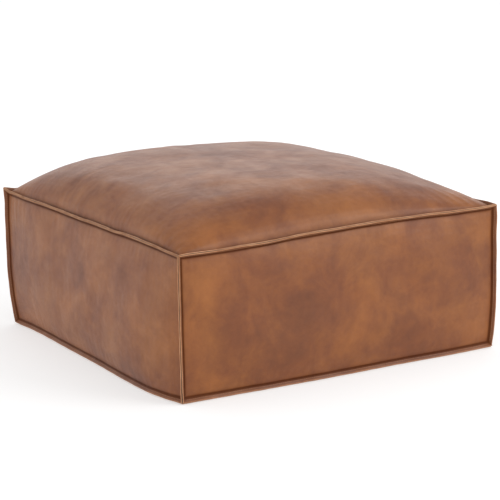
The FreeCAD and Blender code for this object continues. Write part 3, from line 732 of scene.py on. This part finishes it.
def leather_material():
    m = Nodes("cognac_pull_up_leather")
    clouds = m.noise(0.26, 3.0, 0.55, 0.6)
    patches = m.noise(0.11, 4.0, 0.6, 0.8, offset=(3.1, 7.7, 1.3))
    mottle = m.noise(0.028, 4.0, 0.6, 0.4, offset=(9.1, 2.2, 5.0))
    fine = m.noise(0.006, 3.0, 0.6, offset=(1.0, 5.0, 8.0))
    tone = m.math("ADD", m.math("MULTIPLY", clouds, 0.42), m.math("MULTIPLY", patches, 0.36))
    tone = m.math("ADD", tone, m.math("MULTIPLY", mottle, 0.16))
    tone = m.math("ADD", tone, m.math("MULTIPLY", fine, 0.06))
    colour = m.ramp(
        tone,
        (0.34, linear(96, 46, 9)),
        (0.45, linear(116, 60, 15)),
        (0.54, linear(131, 73, 20)),
        (0.66, linear(149, 87, 28)),
    )
    hue = m.fit(m.noise(0.17, 2.0, 0.5, 0.3, offset=(5.5, 0.3, 9.2)), 0.38, 0.62)
    colour = m.mix(m.math("MULTIPLY", hue, 0.35), colour, m.mix(1.0, colour, (1.02, 0.90, 0.84), "MULTIPLY"))
    edge, crease_shade = m.value("edge"), m.value("crease_shade")
    worn = m.math("MULTIPLY", m.fit(edge, 0.86, 1.0), m.fit(m.noise(0.012, 3.0, 0.6), 0.35, 0.7, 0.35, 1.0))
    # painted shade: the lips, and the skin within a few millimetres of each seam, are painted darker, for
    # the shade the flanges stand in
    colour = m.mix(m.math("MULTIPLY", m.fit(edge, 0.5, 0.64), 0.4), colour, linear(86, 38, 11))
    colour = m.mix(m.math("MULTIPLY", worn, 0.6), colour, linear(190, 132, 88))
    # painted shade: a dark line down each seam's valley, where the lip rises from the panel; the same mask
    # also lowers the gloss there
    colour = m.mix(m.math("MULTIPLY", crease_shade, 0.85), colour, linear(66, 27, 7))
    gloss = m.fit(crease_shade, 0.0, 0.7, 0.5, 0.08)
    grain = m.voronoi(0.0019, place=m.stretched((1.0, 1.0, 0.9)))
    grain = m.fit(grain, 0.0, 0.12)
    pores = m.noise(0.0011, 2.0, 0.5)
    normal = m.bump(m.noise(0.03, 3.0, 0.5, 0.4), 0.0011, 0.7)
    normal = m.bump(grain, 0.00012, 0.6, normal)
    normal = m.bump(pores, 0.00008, 0.5, normal)
    blotch = m.math("ADD", m.math("MULTIPLY", patches, 0.6), m.math("MULTIPLY", mottle, 0.4))
    rough = m.fit(blotch, 0.36, 0.64, 0.50, 0.40)
    rough = m.math("ADD", rough, m.math("MULTIPLY", worn, 0.12))
    return m.finish(colour, rough, normal, Specular_IOR_Level=gloss, Sheen_Weight=0.03, Sheen_Roughness=0.5)


def cut_edge_material():
    m = Nodes("cut_leather_edge")
    fibre = m.noise(0.0012, 3.0, 0.7)
    patch = m.noise(0.03, 2.0, 0.5)
    colour = m.ramp(
        m.math("ADD", m.math("MULTIPLY", fibre, 0.5), m.math("MULTIPLY", patch, 0.5)),
        (0.35, linear(150, 100, 66)),
        (0.5, linear(187, 134, 96)),
        (0.65, linear(206, 158, 120)),
    )
    return m.finish(colour, 0.85, m.bump(fibre, 0.0003, 0.8))


def flesh_material():
    m = Nodes("leather_flesh_side")
    nap = m.noise(0.0015, 4.0, 0.7)
    colour = m.ramp(nap, (0.3, linear(128, 86, 58)), (0.7, linear(168, 124, 90)))
    return m.finish(colour, 0.95, m.bump(nap, 0.0005, 0.8), Sheen_Weight=0.3)


def thread_material():
    m = Nodes("bonded_thread")
    ply = m.add("ShaderNodeTexWave", wave_type="BANDS", bands_direction="DIAGONAL", Scale=900.0)
    m.link(m.place, ply.inputs["Vector"])
    colour = m.mix(m.noise(0.05, 2.0), linear(150, 98, 62), linear(184, 130, 88))
    return m.finish(colour, 0.55, m.bump(ply.outputs["Fac"], 0.0001, 0.6))


def weave_material(name, dark, light, pitch, roughness=0.85, depth=0.0002):
    """A plain woven cloth with threads that far apart."""
    m = Nodes(name)
    warp, weft = (
        m.add(
            "ShaderNodeTexWave",
            wave_type="BANDS",
            bands_direction=way,
            Scale=1 / pitch / 6.2832 * 2,
            Distortion=0.6,
            Vector=m.place,
        )
        for way in "XY"
    )
    cross = m.math("MAXIMUM", warp.outputs["Fac"], weft.outputs["Fac"])
    slub = m.noise(0.02, 4.0, 0.6)
    colour = m.mix(m.math("ADD", m.math("MULTIPLY", cross, 0.5), m.math("MULTIPLY", slub, 0.5)), dark, light)
    return m.finish(colour, roughness, m.bump(cross, depth, 0.8), Sheen_Weight=0.2)


def coil_material():
    m = Nodes("zip_coil_nylon")
    colour = m.mix(m.noise(0.01, 3.0), linear(70, 44, 30), linear(98, 62, 42))
    return m.finish(colour, 0.38, m.bump(m.noise(0.001, 2.0), 0.00005, 0.5))


def brass_material():
    m = Nodes("antique_brass")
    tarnish = m.noise(0.004, 5.0, 0.65)
    scratch = m.noise(0.0015, 3.0, 0.6, place=m.stretched((1.0, 9.0, 4.0)))
    colour = m.ramp(tarnish, (0.35, linear(104, 78, 44)), (0.6, linear(176, 142, 84)))
    rough = m.fit(m.math("ADD", tarnish, scratch), 0.8, 1.2, 0.22, 0.48)
    return m.finish(colour, rough, m.bump(scratch, 0.00003, 0.6), Metallic=1.0)


def fibre_material():
    m = Nodes("polyester_fibre")
    tuft = m.noise(0.03, 4.0, 0.6, 1.0)
    strand = m.noise(0.002, 4.0, 0.7, place=m.stretched((1.0, 0.3, 1.0)))
    colour = m.ramp(tuft, (0.3, linear(214, 212, 206)), (0.7, linear(244, 243, 240)))
    height = m.math("ADD", m.math("MULTIPLY", tuft, 0.8), m.math("MULTIPLY", strand, 0.3))
    return m.finish(colour, 0.95, m.bump(height, 0.004, 0.7), Sheen_Weight=0.5)


def foam_material():
    m = Nodes("polyurethane_foam")
    cell = m.voronoi(0.0022)
    colour = m.ramp(m.noise(0.06, 4.0), (0.3, linear(222, 206, 160)), (0.7, linear(240, 228, 190)))
    colour = m.mix(m.fit(cell, 0.0, 0.2, 0.35, 0.0), colour, linear(170, 150, 105))
    return m.finish(colour, 0.9, m.bump(cell, 0.0006, 0.8), Subsurface_Weight=0.0)


LEATHER_SET = [leather_material(), cut_edge_material(), flesh_material()]
THREAD = thread_material()
TAPE = weave_material("zip_tape_weave", linear(84, 54, 36), linear(122, 82, 56), 0.0011)
CALICO = weave_material("calico_weave", linear(206, 194, 168), linear(236, 228, 208), 0.0012)
COIL = coil_material()
BRASS = brass_material()
FIBRE = fibre_material()
FOAM = foam_material()

# ---- the seven hides ----

SIDE_NAMES = ("front", "right", "back", "left")
fine = [refine(grid) for grid in coarse]
lip_faces = {}


def put(obj, slot_name, *stands_for, fill=None):
    """The piece rides on the case, in place of those CAD nodes."""
    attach(obj, BODY)
    if stands_for:
        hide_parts(*stands_for)
    return obj


ring = top_ring()
top_grid = creased_top(with_rim(fine[0], ring))
top, *lip_faces["top"] = hide_mesh("top_leather", top_grid, ring, LEATHER_SET, 500, UP)
put(top, "cognac_leather", "top_panel", fill=0.75)
for side in SIDES:
    ring = side_ring(side)
    grid = creased_side(with_rim(fine[1 + side], ring), side)
    name, seed = SIDE_NAMES[side], 510 + 5 * side
    obj, *lip_faces[name] = hide_mesh(f"{name}_leather", grid, ring, LEATHER_SET, seed, OUTWARD[side])
    put(obj, "cognac_leather", f"{name}_panel", fill=0.8)

# ---- the base: two hides that rise towards the zip between them ----

CHANNEL = (22.0, 16.0, 10.0)  # from the zip's middle: the hide starts to rise, is level again, ends
CHANNEL_RISE = 5.0
CHANNEL_END = 398.5


def base_edge(x):
    """How far from the zip's middle a base hide ends."""
    return 0.2 + (CHANNEL[2] - 0.2) * smooth((CHANNEL_END - np.abs(x)) / 3 + 0.5)


def base_level(x, y, half, rim_level, floor_level):
    """The height of the base's underside."""
    d = np.minimum(half - np.abs(x), half - np.abs(y))
    roll = (1 - np.clip(d / 26, 0, 1)) ** 2.2 * (rim_level - floor_level)
    channel = smooth((CHANNEL[0] - np.abs(y)) / (CHANNEL[0] - CHANNEL[1])) * smooth((402 - np.abs(x)) / 5)
    return floor_level + roll + channel * CHANNEL_RISE


def base_half(end):
    """The half of the base on the front (end 0) or back (end 2) side."""
    a = along
    half_run = along[: EDGE_COUNT // 2 + 1]
    left_side, right_side = (end - 1) % 4, (end + 1) % 4
    run = lambda side, values: tuple(turned(part, -end) for part in base_seam(side, values))
    front = run(end, a)
    right = run(right_side, half_run)
    left_points = run(left_side, -half_run)[0]
    ends = left_points[-1], right[0][-1]
    middle = ends[0] + (ends[1] - ends[0]) * ((1 + a) / 2)[:, None]
    grid = coons(front[0], middle, left_points, right[0])
    x, y = grid[..., 0], grid[..., 1]
    edge = base_edge(x)
    share = (y + HALF_BASE) / HALF_BASE
    y = -HALF_BASE + share * (HALF_BASE - edge)
    level = base_level(x, y, HALF_BASE, SEAM_LOW, FLOOR_GAP)
    from_edge = np.minimum(HALF_BASE - np.abs(x), HALF_BASE + y)
    level += smooth(from_edge / 40) * np.clip(dents(x, y, 600 + end, 0.25), 0, 1)
    grid = vector(x, y, level)
    last = grid[-1]
    inner = (last[::-1], np.tile(LIP * np.array([0, 1.0, 0]), (len(last), 1)))
    ring = chain(front, right, inner, tuple(part[::-1] for part in run(left_side, -half_run)))
    grid.reshape(-1, 3)[rim(np.arange(grid[..., 0].size).reshape(grid.shape[:2]))] = ring[0]
    # the lip is full beside the sides and all but gone beside the zip
    whole, half = len(a) - 1, len(half_run) - 1
    share = np.ones(2 * (whole + half))
    share[whole + half + 1 : 2 * whole + half] = 0.06
    turn = lambda pair: tuple(turned(part, end) for part in pair)
    return turned(grid, end), turn(ring), share


for end, node in ((0, "base_panel_front"), (2, "base_panel_back")):
    grid, ring, share = base_half(end)
    name = f"base_leather_{SIDE_NAMES[end]}"
    obj, *lip_faces[name] = hide_mesh(name, grid, ring, LEATHER_SET, 540 + end, DOWN, share)
    put(obj, "cognac_leather", node)

# ---- thread ----

STITCH, PITCH, THREAD_RADIUS = 4.2, 5.4, 0.42


def stitch_shape():
    """One stitch along +X, lying on the plane z=0: (points, faces)."""
    sides, path = 6, ((-0.5, -0.35), (-0.42, 0.1), (0.0, 0.34), (0.42, 0.1), (0.5, -0.35))
    points, faces = [], []
    for k, (x, z) in enumerate(path):
        size = 0.55 if k in (0, len(path) - 1) else 1.0
        for j in range(sides):
            turn, radius = 2 * math.pi * j / sides, size * THREAD_RADIUS
            points.append((x * STITCH, radius * math.cos(turn), z + radius * math.sin(turn)))
    for k in range(len(path) - 1):
        for j in range(sides):
            a, b = k * sides + j, k * sides + (j + 1) % sides
            faces.append((a, b, b + sides, a + sides))
    faces.append(tuple(range(sides))[::-1])
    faces.append(tuple(range((len(path) - 1) * sides, len(path) * sides)))
    return np.array(points), faces


def stitches(name, lines, slot_name, node):
    """Stitches along lines, each (points, normals, gap left at both ends), as one piece."""
    shape, shape_faces = stitch_shape()
    points, faces, start = [], [], 0
    for line, normal, gap in lines:
        length = distances(line)
        count = int((length[-1] - 2 * gap) / PITCH)
        first = (length[-1] - (count - 1) * PITCH) / 2
        at = lambda s: np.stack([np.interp(s, length, line[:, k]) for k in range(3)], -1)
        for k in range(count):
            s = first + k * PITCH
            x_axis = unit(at(s + 2) - at(s - 2))
            z_axis = np.array([np.interp(s, length, values) for values in normal.T])
            z_axis = unit(z_axis - x_axis * (z_axis @ x_axis))
            y_axis = np.cross(z_axis, x_axis)
            points.append(at(s) + shape @ np.stack([x_axis, y_axis, z_axis]))
            faces += [tuple(i + start for i in f) for f in shape_faces]
            start += len(shape)
    obj = make_object(name, np.concatenate(points), faces, [THREAD])
    return put(obj, slot_name, node)


def between(name, first, last):
    """Part of a hide's lip line, from one place round its edge to another."""
    line, normal = lip_faces[name]
    pick = np.arange(first, last + 1) % len(line)
    return line[pick], normal[pick], 7.0


n_wide, n_up = EDGE_COUNT, UP_COUNT
top_lines = [between("top", k * n_wide, (k + 1) * n_wide) for k in range(4)]
top_lines += [between(name, n_wide + n_up, 2 * n_wide + n_up) for name in SIDE_NAMES]
stitches("top_seam_stitches", top_lines, "sewing_thread", "top_seam_threads")
up_lines = [between(name, n_wide, n_wide + n_up) for name in SIDE_NAMES]
up_lines += [between(name, 2 * n_wide + n_up, 2 * n_wide + 2 * n_up) for name in SIDE_NAMES]
stitches("corner_seam_stitches", up_lines, "sewing_thread", "corner_seam_threads")
low_lines = [between(name, 0, n_wide) for name in SIDE_NAMES]
for name in ("base_leather_front", "base_leather_back"):
    low_lines.append(between(name, 0, n_wide))
    low_lines.append(between(name, n_wide, n_wide + n_wide // 2))
    low_lines.append(between(name, 2 * n_wide + n_wide // 2, 3 * n_wide))
stitches("base_seam_stitches", low_lines, "sewing_thread", "base_seam_threads")

ZIP_STITCH, ZIP_REACH = 13.4, 393.0  # from the zip's middle, sideways and endways
zip_lines = []
for y in (-ZIP_STITCH, ZIP_STITCH):
    x = np.linspace(-ZIP_REACH, ZIP_REACH, 40)
    line = vector(x, y, FLOOR_GAP + CHANNEL_RISE - 0.05)
    zip_lines.append((line, np.tile([0, 0, -1.0], (len(x), 1)), 2.0))
stitches("zip_stitches", zip_lines, "sewing_thread", "zip_seam_threads")

# ---- the zip ----


def tube(name, rings, material, slot_name, node):
    """A closed skin along a row of rings of points."""
    index = np.arange(rings.shape[0] * rings.shape[1]).reshape(rings.shape[:2])
    after = np.roll(index, -1, axis=1)
    faces = np.stack([index[:-1], after[:-1], after[1:], index[1:]], -1).reshape(-1, 4).tolist()
    faces += [index[0].tolist(), index[-1][::-1].tolist()]
    obj = make_object(name, rings.reshape(-1, 3), faces, [material])
    return put(recalculated(obj), slot_name, node)


def tape(name, node):
    """A woven tape with a corded edge beside the teeth."""
    low, high = (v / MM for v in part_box(node))
    inner, outer = sorted((low.y, high.y), key=abs)
    middle, half = (low.z + high.z) / 2, (high.z - low.z) / 2
    across = np.linspace(0, 1, 15)
    y = inner + (outer - inner) * across
    cord = 0.35 * np.exp(-((across / 0.10) ** 2)) + 0.12 * np.exp(-(((across - 0.93) / 0.05) ** 2))
    rib = 0.06 * np.cos(across * 14 * math.pi)
    x = np.linspace(low.x, high.x, 320)
    wave = 0.10 * np.sin(x / 31) + 0.05 * np.sin(x / 7.7)
    upper = vector(x[:, None], y[None], middle + half * 0.7 + cord + rib + wave[:, None])
    lower = vector(x[:, None], y[None], middle - half * 0.7 - cord - rib + wave[:, None])
    ring = np.concatenate([upper, lower[:, ::-1]], 1)
    return tube(name, ring, TAPE, "zip_tape", node)


def coil(name, node, phase):
    """A nylon spiral: its turns are the zip's teeth."""
    low, high = (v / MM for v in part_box(node))
    wire, pitch, steps, sides = 0.38, 2.4, 12, 6
    side = math.copysign(1, low.y + high.y)
    inner = min(abs(low.y), abs(high.y)) - 0.55
    outer = max(abs(low.y), abs(high.y)) - wire
    y_mid, y_half = (inner + outer) / 2, (outer - inner) / 2
    z_mid, z_half = (low.z + high.z) / 2, (high.z - low.z) / 2 - wire
    turns = int((high.x - low.x) / pitch) - 1
    t = np.linspace(0, turns, turns * steps + 1)
    turn = 2 * np.pi * t
    x = low.x + pitch * (0.5 + phase) + pitch * t
    flat = lambda v: np.sign(v) * np.abs(v) ** 0.75
    line = vector(x, side * (y_mid + y_half * flat(np.cos(turn))), z_mid + z_half * flat(np.sin(turn)))
    forward = unit(np.gradient(line, axis=0))
    out = unit(vector(0 * t, side * np.cos(turn), np.sin(turn)))
    out = unit(out - forward * (out * forward).sum(-1, keepdims=True))
    third = np.cross(forward, out)
    around = 2 * np.pi * np.arange(sides) / sides
    cos, sin = np.cos(around)[:, None], np.sin(around)[:, None]
    points = line[:, None] + wire * (cos * out[:, None] + sin * third[:, None])
    return tube(name, points, COIL, "zip_coil", node)


tape("zip_tape_weave_front", "zip_tape_front")
tape("zip_tape_weave_back", "zip_tape_back")
coil("zip_teeth_front", "zip_coil_front", 0.0)
coil("zip_teeth_back", "zip_coil_back", 0.5)

for node in ("zip_slider", "zip_pull", "zip_bottom_stop", "zip_top_stops"):
    metal = nodes[node]
    metal.data.materials.clear()
    metal.data.materials.append(BRASS)
    bevel = metal.modifiers.new("softened edges", "BEVEL")
    bevel.width, bevel.segments = 0.18 * MM, 2
    bevel.limit_method, bevel.angle_limit = "ANGLE", math.radians(40)

# ---- soft blocks and the bag round them ----


def rounded_block(low, high, radius, count=(40, 40, 10), move=None):
    """A box with rounded edges, in many cells: (points, faces). move changes its points."""
    axes = [np.linspace(-1, 1, n + 1) for n in count]
    points, faces, start = [], [], 0
    for axis in range(3):
        b, c = [k for k in range(3) if k != axis]
        u, v = np.meshgrid(axes[b], axes[c], indexing="ij")
        for sign in (-1, 1):
            p = np.empty((*u.shape, 3))
            p[..., axis], p[..., b], p[..., c] = sign, u, v
            index = np.arange(u.size).reshape(u.shape) + start
            points.append(p.reshape(-1, 3))
            faces.append(cells(index.T))
            start += u.size
    cube = np.concatenate(points)
    low, high = np.array(low), np.array(high)
    p = (low + high) / 2 + cube * (high - low) / 2
    core = np.clip(p, low + radius, high - radius)
    p = core + unit(p - core) * radius
    # points of the flat parts keep their place, those near an edge go round it
    _, first, number = np.unique(np.round(cube, 5), axis=0, return_index=True, return_inverse=True)
    number = number.reshape(-1)
    p = p[first]
    quads = number[np.concatenate(faces)]
    if move is not None:
        p = move(p)
    return p, quads


def foam(name, node, radius, move=None):
    low, high = (np.array(v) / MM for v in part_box(node))
    points, faces = rounded_block(low, high, radius, (44, 44, 8), move)
    obj = recalculated(make_object(name, points, faces, [FOAM]))
    return put(obj, "foam", node, fill=0.9)


def soft_faces(seed, height=0.5):
    def move(p):
        wave = dents(p[:, 0], p[:, 1], seed, height, 120, 400)
        sign = np.where(p[:, 2] > p[:, 2].mean(), -1, 1)
        p = p.copy()
        p[:, 2] += sign * np.abs(wave) * 0.5
        return p

    return move


def grooved(p):
    """The base slab leaves room for the zip underneath."""
    p = soft_faces(705)(p)
    room = 13.2 * smooth((30 - np.abs(p[:, 1])) / 6)
    p[:, 2] = np.maximum(p[:, 2], room)
    return p


foam("base_foam", "base_foam_slab", 10.0, grooved)
foam("core_foam", "core_foam_block", 8.0, soft_faces(706))
foam("comfort_foam", "comfort_foam_slab", 12.0, soft_faces(707))


def inside(depth):
    """The settled grids, moved that far in from the skin, each with the seams' shared points kept shared."""
    points, numbers = weld(coarse)
    total = np.zeros_like(points)
    for k, number in enumerate(numbers):
        quads = cells(number)
        a, b, c, d = (points[quads[:, i]] for i in range(4))
        face = np.cross(c - a, d - b)
        face *= np.sign((face @ [UP, *OUTWARD][k]))[:, None]
        for i in range(4):
            np.add.at(total, quads[:, i], face)
    moved = points - unit(total) * depth
    return moved, numbers


def bag(name, outer_depth, wall, rim_level):
    """A thin bag inside the hides, open below."""
    outer, numbers = inside(outer_depth)
    inner, _ = inside(outer_depth + wall)
    outer[:, 2] = np.maximum(outer[:, 2], rim_level)
    inner[:, 2] = np.maximum(inner[:, 2], rim_level)
    quads = np.concatenate([cells(n) for n in numbers])
    foot = np.concatenate([n[0, :-1] for n in numbers[1:]])
    lower = strip_faces(foot, foot + len(outer))
    faces = np.concatenate([quads, quads[:, ::-1] + len(outer), lower])
    obj = make_object(name, np.concatenate([outer, inner]), faces, [CALICO])
    return put(recalculated(obj), "calico", "liner_case")


bag("liner_bag", 3.4, 0.8, 13.0)


def double_faces(index):
    """Faces of a sheet and of its copy over it, shut round the edge."""
    other = index + index.size
    return np.concatenate([cells(index), cells(other)[:, ::-1], strip_faces(rim(index), rim(other))])


def liner_floor():
    """The bag's floor, with a tunnel over the zip."""
    low, high = (np.array(v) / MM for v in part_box("liner_base"))
    half = high[0]
    a = spread(ACROSS) * half
    x, y = np.meshgrid(a, a)
    d = np.minimum(half - np.abs(x), half - np.abs(y))
    rise = (1 - np.clip(d / 24, 0, 1)) ** 2.2 * (high[2] - 0.9 - low[2])
    tunnel = 9.2 * smooth((26 - np.abs(y)) / 8) * smooth((412 - np.abs(x)) / 8)
    under = vector(x, y, low[2] + 0.1 + np.maximum(rise, tunnel))
    over = under + np.array([0, 0, 0.75])
    index = np.arange(x.size).reshape(x.shape)
    points = np.concatenate([under.reshape(-1, 3), over.reshape(-1, 3)])
    obj = make_object("liner_floor", points, double_faces(index), [CALICO])
    return put(recalculated(obj), "calico", "liner_base")


liner_floor()

FIBRE_DEPTH = 5.0
CROWN_PAD_LOW = 333.4
WRAP_LEVELS = (14.5, 332.6)
FOAM_CLEAR = 0.3


def crown_pad():
    points, numbers = inside(FIBRE_DEPTH)
    upper = points[numbers[0]]
    upper = upper + vector(0, 0, -np.abs(dents(upper[..., 0], upper[..., 1], 720, 0.8, 60, 200)))
    lower = upper.copy()
    lower[..., 2] = CROWN_PAD_LOW
    index = np.arange(upper[..., 0].size).reshape(upper.shape[:2])
    every = np.concatenate([upper.reshape(-1, 3), lower.reshape(-1, 3)])
    obj = make_object("crown_fibre", every, double_faces(index), [FIBRE])
    return put(recalculated(obj), "fibre", "fibre_crown_pad", fill=0.6)


def wrap():
    points, numbers = inside(FIBRE_DEPTH)
    levels = np.linspace(*WRAP_LEVELS, 26)
    foam_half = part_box("core_foam_block")[1].x / MM + FOAM_CLEAR
    outer, inner = [], []
    for side in SIDES:
        grid = points[numbers[1 + side]]
        column = []
        for j in range(grid.shape[1] - 1):
            line = grid[:, j]
            order = np.argsort(line[:, 2])
            column.append(np.stack([np.interp(levels, line[order, 2], line[order, k]) for k in (0, 1)], -1))
        outer.append(np.stack(column, 1))
        a = spread(ACROSS)[:-1]
        foam_side = turned(vector(a * foam_half, -foam_half, 0), side)[None, :, :2]
        inner.append(np.tile(foam_side, (len(levels), 1, 1)))
    outer, inner = np.concatenate(outer, 1), np.concatenate(inner, 1)
    height = np.broadcast_to(levels[:, None, None], (*outer.shape[:2], 1))
    rows, around = outer.shape[:2]
    out_index = np.arange(rows * around).reshape(rows, around)
    in_index = out_index + rows * around
    faces = []
    for row in range(rows - 1):
        faces.append(strip_faces(out_index[row], out_index[row + 1]))
        faces.append(strip_faces(in_index[row + 1], in_index[row]))
    faces.append(strip_faces(in_index[0], out_index[0]))
    faces.append(strip_faces(out_index[-1], in_index[-1]))
    every = [np.concatenate([part, height], -1).reshape(-1, 3) for part in (outer, inner)]
    obj = make_object("side_fibre", np.concatenate(every), np.concatenate(faces), [FIBRE])
    return put(recalculated(obj), "fibre", "fibre_wrap", fill=0.6)


crown_pad()
wrap()


def end_tabs():
    """Leather flaps that shut the channel's two ends."""
    low, high = (np.array(v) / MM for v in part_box("zip_end_tabs"))
    points, faces, start = [], [], 0
    for sign in (-1, 1):
        ends = sorted((sign * (high[0] - 1.8), sign * high[0]))
        p, quads = rounded_block((ends[0], *low[1:]), (ends[1], *high[1:]), 0.6, (3, 30, 6))
        points.append(p)
        faces.append(quads + start)
        start += len(p)
    points, faces = np.concatenate(points), np.concatenate(faces)
    plain = {"edge": np.zeros(start), "crease_shade": np.zeros(start)}
    obj = make_object("zip_end_flaps", points, faces, LEATHER_SET[:1], None, plain)
    return put(recalculated(obj), "cognac_leather", "zip_end_tabs")


end_tabs()

# ---- floor, light and camera ----


def stage_material(name, colour, roughness):
    m = Nodes(name)
    shade = m.mix(m.noise(1.4, 2.0), tuple(c * 0.985 for c in colour), colour)
    white = (1, 1, 1, 1)
    return m.finish(
        shade, roughness, Specular_IOR_Level=0.2, Emission_Color=white, Emission_Strength=0.45
    )


def floor():
    """A plain floor that turns up far behind the object."""
    work = bmesh.new()
    size, height, turn, steps = 9.0, 0.9, 0.8, 10
    profile = [(-size, 0.0)]
    for k in range(steps + 1):
        angle = math.pi / 2 * k / steps
        profile.append((size - turn + turn * math.sin(angle), turn - turn * math.cos(angle)))
    profile.append((size, height))
    heading = math.radians(31.36)
    rows = []
    for across in (-14.0, 14.0):
        row = []
        for forward, z in profile:
            x = forward * math.sin(heading) + across * math.cos(heading)
            y = forward * math.cos(heading) - across * math.sin(heading)
            row.append(work.verts.new((x, y, z - 0.0006)))
        rows.append(row)
    for k in range(len(profile) - 1):
        work.faces.new((rows[0][k], rows[1][k], rows[1][k + 1], rows[0][k + 1]))
    mesh = bpy.data.meshes.new("studio_floor")
    work.to_mesh(mesh)
    work.free()
    mesh.polygons.foreach_set("use_smooth", [True] * len(mesh.polygons))
    mesh.materials.append(stage_material("studio_paper", (0.62, 0.62, 0.62), 0.9))
    obj = bpy.data.objects.new("studio_floor", mesh)
    bpy.context.scene.collection.objects.link(obj)


def softbox(name, place, size, power, colour=(1.0, 1.0, 1.0), aim=(0, 0, 0.2)):
    light = bpy.data.lights.new(name, "AREA")
    light.shape, light.size, light.size_y = "RECTANGLE", *size
    light.energy, light.color = power, colour
    obj = bpy.data.objects.new(name, light)
    obj.location = place
    obj.rotation_euler = (Vector(aim) - Vector(place)).to_track_quat("-Z", "Y").to_euler()
    bpy.context.scene.collection.objects.link(obj)


def world(at_horizon, above):
    """Bright near the horizon, as a white studio sweep is, and dimmer above."""
    w = bpy.data.worlds.new("studio")
    bpy.context.scene.world = w
    w.use_nodes = True
    tree = w.node_tree
    background = tree.nodes["Background"]
    direction = tree.nodes.new("ShaderNodeTexCoord")
    parts = tree.nodes.new("ShaderNodeSeparateXYZ")
    level = tree.nodes.new("ShaderNodeMapRange")
    tree.links.new(direction.outputs["Generated"], parts.inputs[0])
    tree.links.new(parts.outputs["Z"], level.inputs["Value"])
    for key, value in (("From Min", 0.03), ("From Max", 0.28), ("To Min", at_horizon), ("To Max", above)):
        level.inputs[key].default_value = value
    tree.links.new(level.outputs[0], background.inputs["Strength"])
    background.inputs["Color"].default_value = (1.0, 1.0, 1.0, 1)


def camera():
    """The camera looks at the upright seam between the front and the left side."""
    yaw, pitch, roll = (math.radians(v) for v in (31.36, 13.09, -0.761))
    distance, aside, above = 5.768, 0.0120, 0.0425
    forward = Vector((math.sin(yaw) * math.cos(pitch), math.cos(yaw) * math.cos(pitch), -math.sin(pitch)))
    right = Vector((math.cos(yaw), -math.sin(yaw), 0))
    up = right.cross(forward)
    place = Vector((0, 0, 0.180)) - forward * distance + right * aside + up * above
    x_axis = right * math.cos(roll) + up * math.sin(roll)
    y_axis = up * math.cos(roll) - right * math.sin(roll)
    data = bpy.data.cameras.new("camera")
    data.sensor_width, data.lens = 36.0, 162.48
    obj = bpy.data.objects.new("camera", data)
    turn = Matrix((x_axis, y_axis, -forward)).transposed().to_4x4()
    obj.matrix_world = Matrix.Translation(place) @ turn
    bpy.context.scene.collection.objects.link(obj)
    bpy.context.scene.camera = obj
    data.clip_start, data.clip_end = 0.1, 60


floor()
world(1.3, 0.88)
softbox("key", (2.6, -3.6, 2.6), (2.8, 2.8), 84)
softbox("back_left", (-4.6, 2.6, 1.3), (3.4, 1.6), 10)
softbox("behind", (2.2, 3.6, 2.3), (5.0, 2.4), 24)
camera()
bpy.context.scene.view_settings.view_transform = "Standard"
